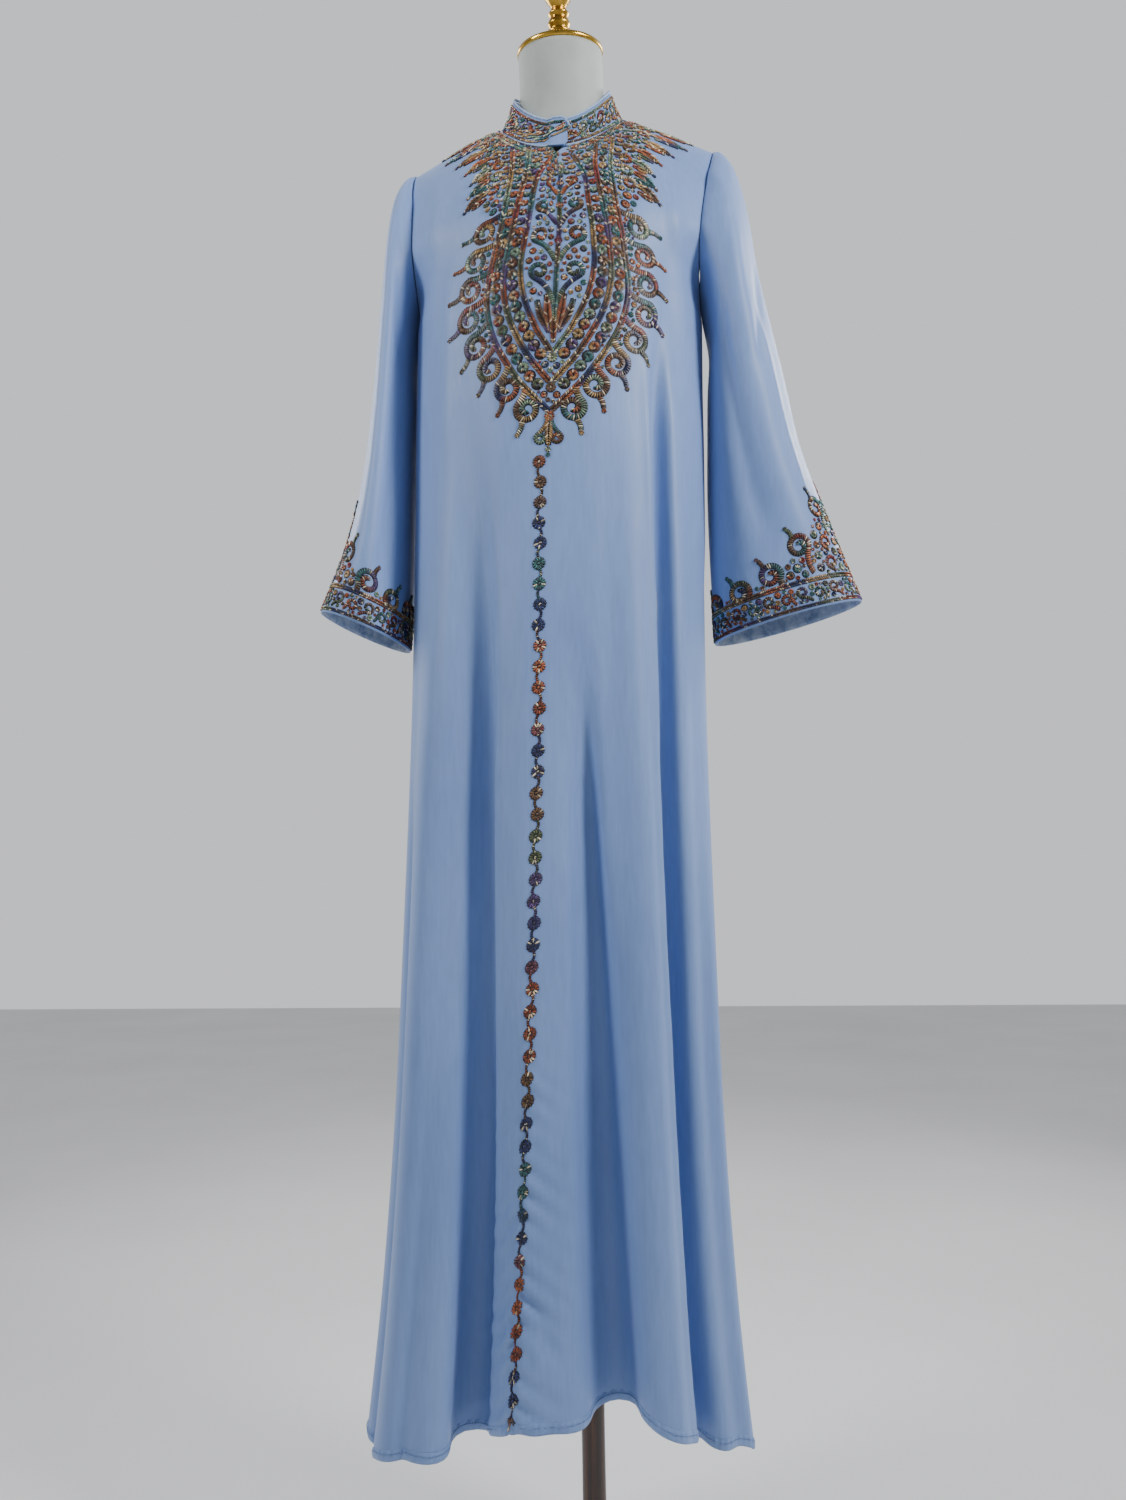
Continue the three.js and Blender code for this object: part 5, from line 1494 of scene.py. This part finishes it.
def border_scrolls(work, side, rib):
    """Curls with pointed, beaded ends all along the bib's edge."""
    flat = bib_place(mirrored(curved(BORDER, 10), side))
    length = np.linalg.norm(np.diff(flat, axis=0), axis=1).sum()
    centres, tangents, run, _ = spaced_along(flat, length / BORDER_SCROLL["count"])
    rib = even(rib, 160)
    for k, (centre, tangent) in enumerate(zip(centres, tangents)):
        share = run[k] / length
        radius = lerp(BORDER_SCROLL["least"], BORDER_SCROLL["most"], float(np.sin(np.pi * share) ** 0.6))
        outward = quarter(tangent[None])[0] * side
        nearest = int(np.argmin(np.linalg.norm(rib - (centre - tangent * radius * 1.5), axis=1)))
        eye, turns = BORDER_SCROLL["eye"], BORDER_SCROLL["turns"]
        path = scroll(rib[nearest], centre, radius, eye, turns, -side, bow=0.08)
        work.ribbon(path, BORDER_SCROLL["width"], ("mixed", k * 2.3 + side), ends=(0.8, 0.7), taper=0.66)
        reach = unit((outward * 0.95 + tangent * lerp(0.30, 0.55, share))[None])[0]
        root = centre + reach * (radius + BORDER_SCROLL["tip_gap"])
        tip(work, root, reach, BORDER_SCROLL["tip"], BORDER_SCROLL["tip_width"], ("mixed", k * 1.9 + 4))


FLAMES = [
    ((0.070, 1.728), (0.150, 1.709)), ((0.066, 1.712), (0.142, 1.690)), ((0.062, 1.696), (0.126, 1.670)),
    ((0.060, 1.680), (0.112, 1.650)), ((0.058, 1.662), (0.104, 1.630)), ((0.058, 1.644), (0.106, 1.610)),
    ((0.060, 1.626), (0.110, 1.590)),
]
FLAME = dict(radius=0.0074, eye=0.0012, turns=1.25, width=0.0068, leaf=0.0130, bead=0.0026,
             lower_leaf=0.0088, lower_aside=0.0078)


def shoulder_flames(work, side):
    """Rows of long curls that taper outwards from the neckline over the shoulder."""
    first = neckline_route(side, 12, 88)
    work.braid(shifted(first, -side * 0.0050), 0.0044, ("edge", side))
    work.braid(shifted(first, -side * 0.0225), 0.0052, ("shoulder", 2.0 + side))
    for k, (root, end) in enumerate(FLAMES):
        root, end = bib_place(mirrored([root, end], side))
        along = unit((end - root)[None])[0]
        across = quarter(along[None])[0] * side
        long = np.linalg.norm(end - root)
        eye = root + along * long * 0.36 - across * 0.0020
        path = scroll(root - across * 0.004, eye, FLAME["radius"], FLAME["eye"], FLAME["turns"], -side)
        work.ribbon(path, FLAME["width"], ("shoulder", k * 1.7), pitch=0.0025, taper=0.75)
        start = eye + along * 0.0080 + across * 0.0030
        bend = lerp(start, end, 0.5) + across * 0.0034
        work.leaf(curved([start, bend, end], 8), FLAME["leaf"], ("shoulder", k * 2.2 + 1))
        work.bead(end + along * 0.0022, FLAME["bead"], ("edge", k * 1.4))
        low = lerp(start, end, 0.14) - across * FLAME["lower_aside"]
        bow = [low, lerp(low, end, 0.5) - across * 0.0022, lerp(low, end, 0.80) - across * 0.0036]
        work.leaf(curved(bow, 8), FLAME["lower_leaf"], ("cool" if k % 2 else "warm", k * 1.3))


SHOULDER_GROUND = [
    (0.003, 1.625), (0.004, 1.672), (0.008, 1.688), (0.034, 1.698), (0.062, 1.728), (0.106, 1.722),
    (0.100, 1.690), (0.094, 1.660), (0.090, 1.630), (0.092, 1.602), (0.078, 1.572), (0.050, 1.590),
    (0.024, 1.620),
]
# The medallion's pairs of curls: heights of foot and centre, place aside, radius and dye.
MEDALLION_PAIRS = [
    (1.456, 1.496, 0.0200, 0.0092, "cool"), (1.506, 1.540, 0.0200, 0.0090, "mixed"),
    (1.552, 1.580, 0.0175, 0.0078, "cool"), (1.594, 1.616, 0.0125, 0.0060, "warm"),
]
MEDALLION_LEAVES = [(0.0100, 1.478, "warm"), (0.0205, 1.472, "cool")]


def bib_spot(x, z):
    return bib_place([(x, z)])[0]


def bib_upright(low_z, high_z, count):
    """A route up or down the bib's middle line."""
    return np.array([bib_spot(0, z) for z in np.linspace(low_z, high_z, count)])


def medallion(work):
    """A stem with pairs of curls that open upwards, and a fan of leaves at its foot."""
    at = bib_spot
    stem = bib_upright(1.650, 1.440, 24)
    work.braid(stem, 0.0058, ("cool", 0.5))
    for side in (-1, 1):
        for k, (foot_z, centre_z, aside, radius, kind) in enumerate(MEDALLION_PAIRS):
            path = scroll(at(side * 0.0016, foot_z), at(side * aside, centre_z), radius, 0.0014, 1.20, side)
            work.ribbon(path, 0.0072, (kind, k * 1.9 + 0.8), taper=0.75)
            above = at(side * (aside + radius * 0.3), centre_z + radius + 0.0066)
            work.bead(above, 0.0034, ("mixed", k * 2.7))
        for k, (spread, low_z, kind) in enumerate(MEDALLION_LEAVES):
            path = curved([at(side * 0.004, 1.424), at(side * spread * 0.75, (1.424 + low_z) / 2 - 0.003),
                           at(side * spread, low_z - 0.008)], 10)
            work.leaf(path, 0.0098, (kind, k * 3.1 + 2))
    work.leaf(bib_upright(1.412, 1.444, 10), 0.0084, ("warm", 0.5))
    for z in (1.532, 1.578, 1.612, 1.640):
        work.rosette(at(0, z), 0.0050, ("warm", z * 40), petals=8, bar=0.0022)


def bib_foot(work):
    """A fan of curls under the ribs, ending in a drop."""
    at = bib_spot
    for side in (-1, 1):
        path = scroll(at(side * 0.001, 1.332), at(side * 0.0088, 1.306), 0.0058, 0.0012, 1.2, -side)
        work.ribbon(path, 0.0056, ("mixed", 2.6 + side), pitch=0.0024, taper=0.8)
    work.leaf(bib_upright(1.334, 1.296, 10), 0.0100, ("warm", 1.0))
    for k, z in enumerate((1.3300, 1.3620, 1.3960)):
        work.rosette(at(0, z), 0.0062, ("mixed", k * 1.3), petals=10, bar=0.0026)
    for k, z in enumerate((1.2930, 1.2870)):
        work.bead(at(0, z), 0.0034 - 0.0006 * k, ("mixed", k + 3.0))


def make_bib():
    work = Embroidery(BIB_CHART, 11)
    for side in (-1, 1):
        routes = [rib_route(side, rib) for rib in RIBS]
        for k, route in enumerate(routes):
            work.braid(route, RIB_WIDTHS[k], ("mixed", k * 3.3 + side))
        for k, kinds in enumerate([("mixed", "warm", "cool"), ("cool", "warm", "mixed")]):
            band_of_florets(work, routes[k], routes[k + 1], kinds, side)
        border_scrolls(work, side, routes[0])
        shoulder_flames(work, side)
    medallion(work)
    bib_foot(work)
    for side in (-1, 1):
        work.fill(bib_place(mirrored(SHOULDER_GROUND, side)), 0.0016, 0.0062, ("shoulder", "warm", "cool"))
        outer, inner = rib_outline(RIBS[0]), rib_outline(RIBS[2])
        border = [*curved(BORDER, 6), *outer[:0:-1]]
        work.fill(bib_place(mirrored(border, side)), 0.0018, 0.0058, ("mixed", "warm", "cool"))
        between = [*outer, (0.001, RIBS[0][1]), (0.001, RIBS[2][1]), *inner[::-1]]
        work.fill(bib_place(mirrored(between, side)), 0.0017, 0.0058, ("warm", "cool", "mixed"))
    core = rib_outline(RIBS[2], scale=0.92)
    whole = np.concatenate([core, core[::-1] * (-1, 1)])
    work.fill(bib_place(whole), 0.0018, 0.0046, ("cool", "mixed", "warm"), gap=0.0009)
    return work.finished("bib_stitching", "embroidery", "yoke_embroidery")


bib = make_bib()


# ---------- chain of rosettes down the centre front ----------
CHAIN = dict(top_z=1.280, hem_margin=0.010, rosettes=45, radius=0.0078, sway=0.0009, link_from=0.0052,
             link_bend=0.0024, link_width=0.0030)


def make_chain():
    work = Embroidery(CHAIN_CHART, 23)
    column = FRONT[:, MIDDLE_COLUMN]
    top = float(np.interp(CHAIN["top_z"], column[:, 2], distance_run(column)))
    places = np.linspace(CHAIN["hem_margin"], top, CHAIN["rosettes"])
    sway = CHAIN["sway"] * np.sin(np.arange(len(places)) * 2.4)
    for k, (up, aside) in enumerate(zip(places, sway)):
        dye = ("chain", (len(places) - k) * 0.46)
        work.rosette(np.array([aside, up]), CHAIN["radius"], dye, petals=12, bar=0.0027, height=0.0011)
        if k:
            low = np.array([sway[k - 1], places[k - 1] + CHAIN["link_from"]])
            high = np.array([aside, up - CHAIN["link_from"]])
            bend = (low + high) / 2 + np.array([CHAIN["link_bend"] * (1 if k % 2 else -1), 0])
            path = curved([low, bend, high], 8)
            work.ribbon(path, CHAIN["link_width"], dye, pitch=0.0021, bar=0.0016, height=0.0014)
    return work.finished("chain_stitching", "embroidery", "front_chain")


chain = make_chain()


# ---------- cuffs ----------
CUFF = dict(rows_from=0.70, band=0.0330, base=0.066, crest=0.098, crest_width=62, scrolls=11, radius=0.0124,
            turns=1.40, width=0.0084, crown=0.034)


def cuff_chart(name):
    """The lower sleeve opened along its inner line, so that the outer line is its middle."""
    side, rows = SLEEVES[name]
    count = len(SLEEVE_TURNS)
    shares = SLEEVE_SHARES[SLEEVE_SHARES > CUFF["rows_from"]]
    s, turn = np.meshgrid(shares, np.append(SLEEVE_TURNS, 360) - 180, indexing="ij")
    points, _ = dressed_sleeve(turn, s, side, rows)
    return Chart(points, side, count // 2, len(shares) - 1, upward=-1)


def make_cuff(name, seed):
    chart = cuff_chart(name)
    edge = chart.flat.reshape(-1, len(SLEEVE_TURNS) + 1, 2)[-1, :, 0]
    low, high = float(edge[0]), float(edge[-1])
    per_degree = (high - low) / 360
    top = lambda x: CUFF["base"] + CUFF["crest"] * np.exp(-((x / per_degree / CUFF["crest_width"]) ** 2))
    work = Embroidery(chart, seed)
    across = np.linspace(low, high, 200)
    level = lambda up: np.stack([across, np.full_like(across, up)], axis=1)
    work.braid(level(0.0046), 0.0044, ("edge", 0.3), pitch=0.0023, bar=0.0018)
    work.braid(level(CUFF["band"]), 0.0060, ("mixed", 2.0))
    cuff_loops(work, low, high)
    cuff_scrolls(work, low, high, top)
    crown = float(top(0)) - CUFF["crown"]
    spine = np.stack([np.zeros(16), lerp(CUFF["band"], crown, np.linspace(0, 1, 16))], axis=1)
    work.braid(spine, 0.0050, ("mixed", 0.6))
    plume = [0.0022 * np.sin(np.linspace(0, 2.6, 16)), crown + np.linspace(-0.002, 0.031, 16)]
    work.leaf(np.stack(plume, axis=1), 0.0110, ("warm", 0.4))
    rim = np.linspace(low, high, 60)
    outline = np.concatenate([np.stack([rim, np.full(60, 0.0070)], axis=1),
                              np.stack([rim, top(rim) - 0.026], axis=1)[::-1]])
    work.fill(outline, 0.0018, 0.0060, ("mixed", "warm", "cool"))
    return work.finished(f"cuff_stitching_{name}", "embroidery", f"cuff_embroidery_{name}")


def cuff_loops(work, low, high):
    """Round the wrist: loops that lean to alternate sides."""
    pitch = (high - low) / (CUFF["scrolls"] * 2)
    for k in range(CUFF["scrolls"] * 2):
        x = low + (k + 0.5) * pitch
        hand = 1 if k % 2 else -1
        path = scroll((x - pitch / 2, 0.0088), (x, 0.0188 + 0.0022 * hand), 0.0060, 0.0008, 1.15, hand)
        dye = (("cool", "warm", "mixed")[k % 3], k * 1.3)
        work.ribbon(path, 0.0048, dye, taper=0.8, **FINE)


def cuff_scrolls(work, low, high, top):
    """Curls along the crest line, the tallest over the sleeve's outer line, each with a beaded end."""
    pitch = (high - low) / CUFF["scrolls"]
    for k in range(CUFF["scrolls"]):
        x = low + (k + 0.5) * pitch
        lean = 1 if x > 0 else -1
        if abs(x) < pitch * 0.4:
            continue
        level, radius = float(top(x)) - 0.0245, CUFF["radius"]
        foot = (x - lean * 0.010, max(CUFF["band"] + 0.002, level - 0.034))
        path = scroll(foot, (x, level), radius, 0.0018, CUFF["turns"], -lean)
        work.ribbon(path, CUFF["width"], ("mixed", k * 2.9), ends=(0.8, 0.7), taper=0.68)
        reach = unit(np.array([[lean * 0.45, 0.9]]))[0]
        tip(work, np.array([x, level]) + reach * (radius + 0.0010), reach, 0.0108, 0.0074, ("cool", k * 1.7))
        for rung in np.arange(CUFF["band"] + 0.016, level - 0.026, 0.0250):
            path = scroll((x, rung - 0.012), (x + lean * 0.002, rung), 0.0078, 0.0012, 1.15, lean)
            work.ribbon(path, 0.0060, ("warm", k * 1.1 + rung * 90), pitch=0.0025, taper=0.8)


cuffs = {name: make_cuff(name, seed) for name, seed in (("left", 31), ("right", 37))}


# ---------- collar stitching and the neckline's cord ----------
COLLAR_STITCH = dict(middle=0.0212, half=0.0158, end=0.0190, bend=0.0120, pitch=0.0150)


def make_collar_stitching():
    angle = COLLAR_ANGLES
    grid = collar_surface(*np.meshgrid(angle, np.linspace(0, 1, COLLAR_ROWS)))
    chart = Chart(grid, 1, 0, 0)
    length = float(chart.flat.reshape(COLLAR_ROWS, -1, 2)[COLLAR_ROWS // 2, -1, 0])
    work = Embroidery(chart, 43)
    middle, half, end = COLLAR_STITCH["middle"], COLLAR_STITCH["half"], length - COLLAR_STITCH["end"]
    turn = np.linspace(-np.pi / 2, np.pi / 2, 24)
    bend = np.stack([end + COLLAR_STITCH["bend"] * np.cos(turn), middle + half * np.sin(turn)], axis=1)
    across = np.linspace(0.0050, end, 120)
    edge = np.concatenate([np.stack([across, np.full_like(across, middle - half)], axis=1), bend[1:-1],
                           np.stack([across[::-1], np.full_like(across, middle + half)], axis=1)])
    work.braid(edge, 0.0042, ("mixed", 0.5), **FINE)
    count = int((length - 0.030) / COLLAR_STITCH["pitch"])
    for k, x in enumerate(np.linspace(0.0120, length - 0.022, count)):
        hand = 1 if k % 2 else -1
        foot, eye = (x - 0.0090, middle - 0.0090 * hand), (x, middle + 0.0040 * hand)
        path = scroll(foot, eye, 0.0066, 0.0010, 1.2, hand)
        work.ribbon(path, 0.0050, (("warm", "shoulder", "cool")[k % 3], k * 1.2), **FINE)
    low, high, corner = middle - half + 0.0030, middle + half - 0.0030, length - 0.0170
    ground = [(0.0060, low), (corner, low), (length - 0.0100, middle), (corner, high), (0.0060, high)]
    work.fill(np.array(ground), 0.0016, 0.0050, ("warm", "shoulder", "cool"), grid=0.0016)
    return work.finished("collar_stitching", "embroidery")


collar_stitching = make_collar_stitching()


NECK_CORD = dict(radius=0.0012, out=0.0016)


def neck_seam_cord():
    """A thin cord covers the seam between collar and panels, as far as the slit."""
    angle = np.linspace(6, 354, 180)
    seam = oval_point(NECKLINE, angle) + neck_outward(angle) * (NECK_CORD["out"] + collar_lap(angle)[:, None])
    path = seam + np.array([0, 0, NECK_CORD["radius"]])
    return settle(tube("neck_seam_cord", path, NECK_CORD["radius"], PIPING, sides=10, twist=0.005), "piping")


neck_cord = neck_seam_cord()


# ---------- hems ----------
HEM_BAND = dict(height=0.0105, up_to=0.009, columns=640)
HEM_RIPPLES = [(0.00045, 0.0068, 0), (0.0002, 0.0117, 1)]     # height, pitch and phase
# Across the hem, from its outer top edge round under the cloth to its inner one: up it and out.
HEM_SECTION = [
    (0.0105, 0.0000), (0.009765, 0.0006), (0.00525, 0.0008), (0.0012, 0.0008), (-0.0006, 0.0001),
    (-0.0009, -0.0006), (-0.0006, -0.0014), (0.0012, -0.0020), (0.0105, -0.0020),
]
TOPSTITCH = dict(share=0.0062, pitch=0.0032, length=0.0023, width=0.0006, foot=0.0012, top=0.0019)


def hem_band(name, columns, face):
    """The turned-up hem: cloth folded under, with the small ripples of its stitching."""
    at = np.interp(np.linspace(0, 1, HEM_BAND["columns"]), np.linspace(0, 1, len(columns)), columns)
    edge, normals = dressed_panel(at, np.zeros_like(at), face)
    above, _ = dressed_panel(at, np.full_like(at, HEM_BAND["up_to"]), face)
    up = unit(above - edge)
    run = distance_run(edge)
    ripple = sum(high * np.sin(2 * np.pi * run / pitch + phase) for high, pitch, phase in HEM_RIPPLES)
    stitched = lambda up_it: 0.25 < up_it / HEM_BAND["height"] < 0.97
    rows = [edge + up * (up_it + CLOTH) + normals * (out + ripple * stitched(up_it))[:, None]
            for up_it, out in HEM_SECTION]
    piece = make_object(name, np.array(rows[::-1]), grid_faces(len(rows), len(at), flip=face > 0), HEM_CLOTH)
    return settle(piece, "cloth")


front_hem = hem_band("hem_front", FRONT_U, -1)
back_hem = hem_band("hem_back", BACK_U, 1)


def topstitch(name, columns, face):
    """A row of short stitches just below the top of the turned-up hem."""
    at = np.interp(np.linspace(0.002, 0.998, 2400), np.linspace(0, 1, len(columns)), columns)
    line, normals = dressed_panel(at, np.full_like(at, TOPSTITCH["share"]), face)
    run = distance_run(line)
    length = TOPSTITCH["length"]
    starts = np.arange(0.002, run[-1] - length, TOPSTITCH["pitch"])
    mix = lambda values, s: np.stack([np.interp(s, run, values[:, k]) for k in range(3)], axis=1)
    a, b, normal = mix(line, starts), mix(line, starts + length), unit(mix(normals, starts))
    across = unit(np.cross(b - a, normal)) * TOPSTITCH["width"] / 2
    low, high = normal * TOPSTITCH["foot"], normal * TOPSTITCH["top"]
    ends = [(end + across + low, end - across + low, end + high) for end in (a, b)]
    points = np.stack([*ends[0], *ends[1]], axis=1)
    faces = [(0, 1, 2), (5, 4, 3), (0, 2, 5, 3), (2, 1, 4, 5), (1, 0, 3, 4)]
    faces = [[6 * i + k for k in face] for i in range(len(a)) for face in faces]
    return settle(make_object(name, points, faces, SEWING), "cloth")


front_stitches = topstitch("hem_stitches_front", FRONT_U, -1)
back_stitches = topstitch("hem_stitches_back", BACK_U, 1)


# ---------- floor and light ----------
FLOOR_REACH = 6


def make_floor():
    corners = [(x * FLOOR_REACH, y * FLOOR_REACH, 0) for x, y in ((-1, -1), (1, -1), (1, 1), (-1, 1))]
    floor = make_object("floor", corners, [[0, 1, 2, 3]], pale_floor())


def pale_floor():
    n = Nodes("pale_floor")
    n.set(Metallic=0.0, Roughness=0.8, Emission_Color=srgb(232, 232, 234), Emission_Strength=0.10)
    greys = [(0.3, srgb(226, 226, 226)), (0.7, srgb(236, 236, 236))]
    n.into(n.ramp(n.noise(scale=1.5, detail=3.0), greys), "Base Color")
    return n.material


def area_light(name, place, aim, size, power, spread):
    data = bpy.data.lights.new(name, "AREA")
    data.shape = "DISK"
    data.size = size
    data.energy = power
    data.spread = math.radians(spread)
    light = bpy.data.objects.new(name, data)
    bpy.context.scene.collection.objects.link(light)
    light.location = place
    light.rotation_euler = (Vector(aim) - Vector(place)).to_track_quat("-Z", "Y").to_euler()


BACKDROP = dict(front_y=-0.1, back_y=0.6, front=0.24, back=0.95)


def pale_world():
    """A pale backdrop behind the garment and a dimmer room in front of it."""
    world = bpy.data.worlds.new("studio")
    world.use_nodes = True
    tree = world.node_tree
    shine = tree.nodes["Background"].inputs
    shine["Color"].default_value = srgb(232, 234, 238)
    direction = tree.nodes.new("ShaderNodeSeparateXYZ")
    tree.links.new(tree.nodes.new("ShaderNodeTexCoord").outputs["Generated"], direction.inputs["Vector"])
    tree.links.new(map_range(tree, direction.outputs["Y"], *BACKDROP.values()), shine["Strength"])
    bpy.context.scene.world = world


# Soft lamps: place, height aimed at on the garment's axis, size, watts, and spread in degrees.
LAMPS = {
    "key": ((-2.0, -1.30, 2.5), 1.5, 0.7, 12.5, 100),
    "side": ((2.0, -1.25, 2.4), 1.5, 0.7, 21, 100),
    "back": ((1.8, 1.7, 2.5), 1.3, 0.8, 24, 140),
    "back_left": ((-2.0, 1.3, 2.3), 1.3, 0.8, 12, 140),
}

make_floor()
pale_world()
for lamp, (place, aim_z, size, power, spread) in LAMPS.items():
    area_light(lamp, place, (0, 0, aim_z), size, power, spread)
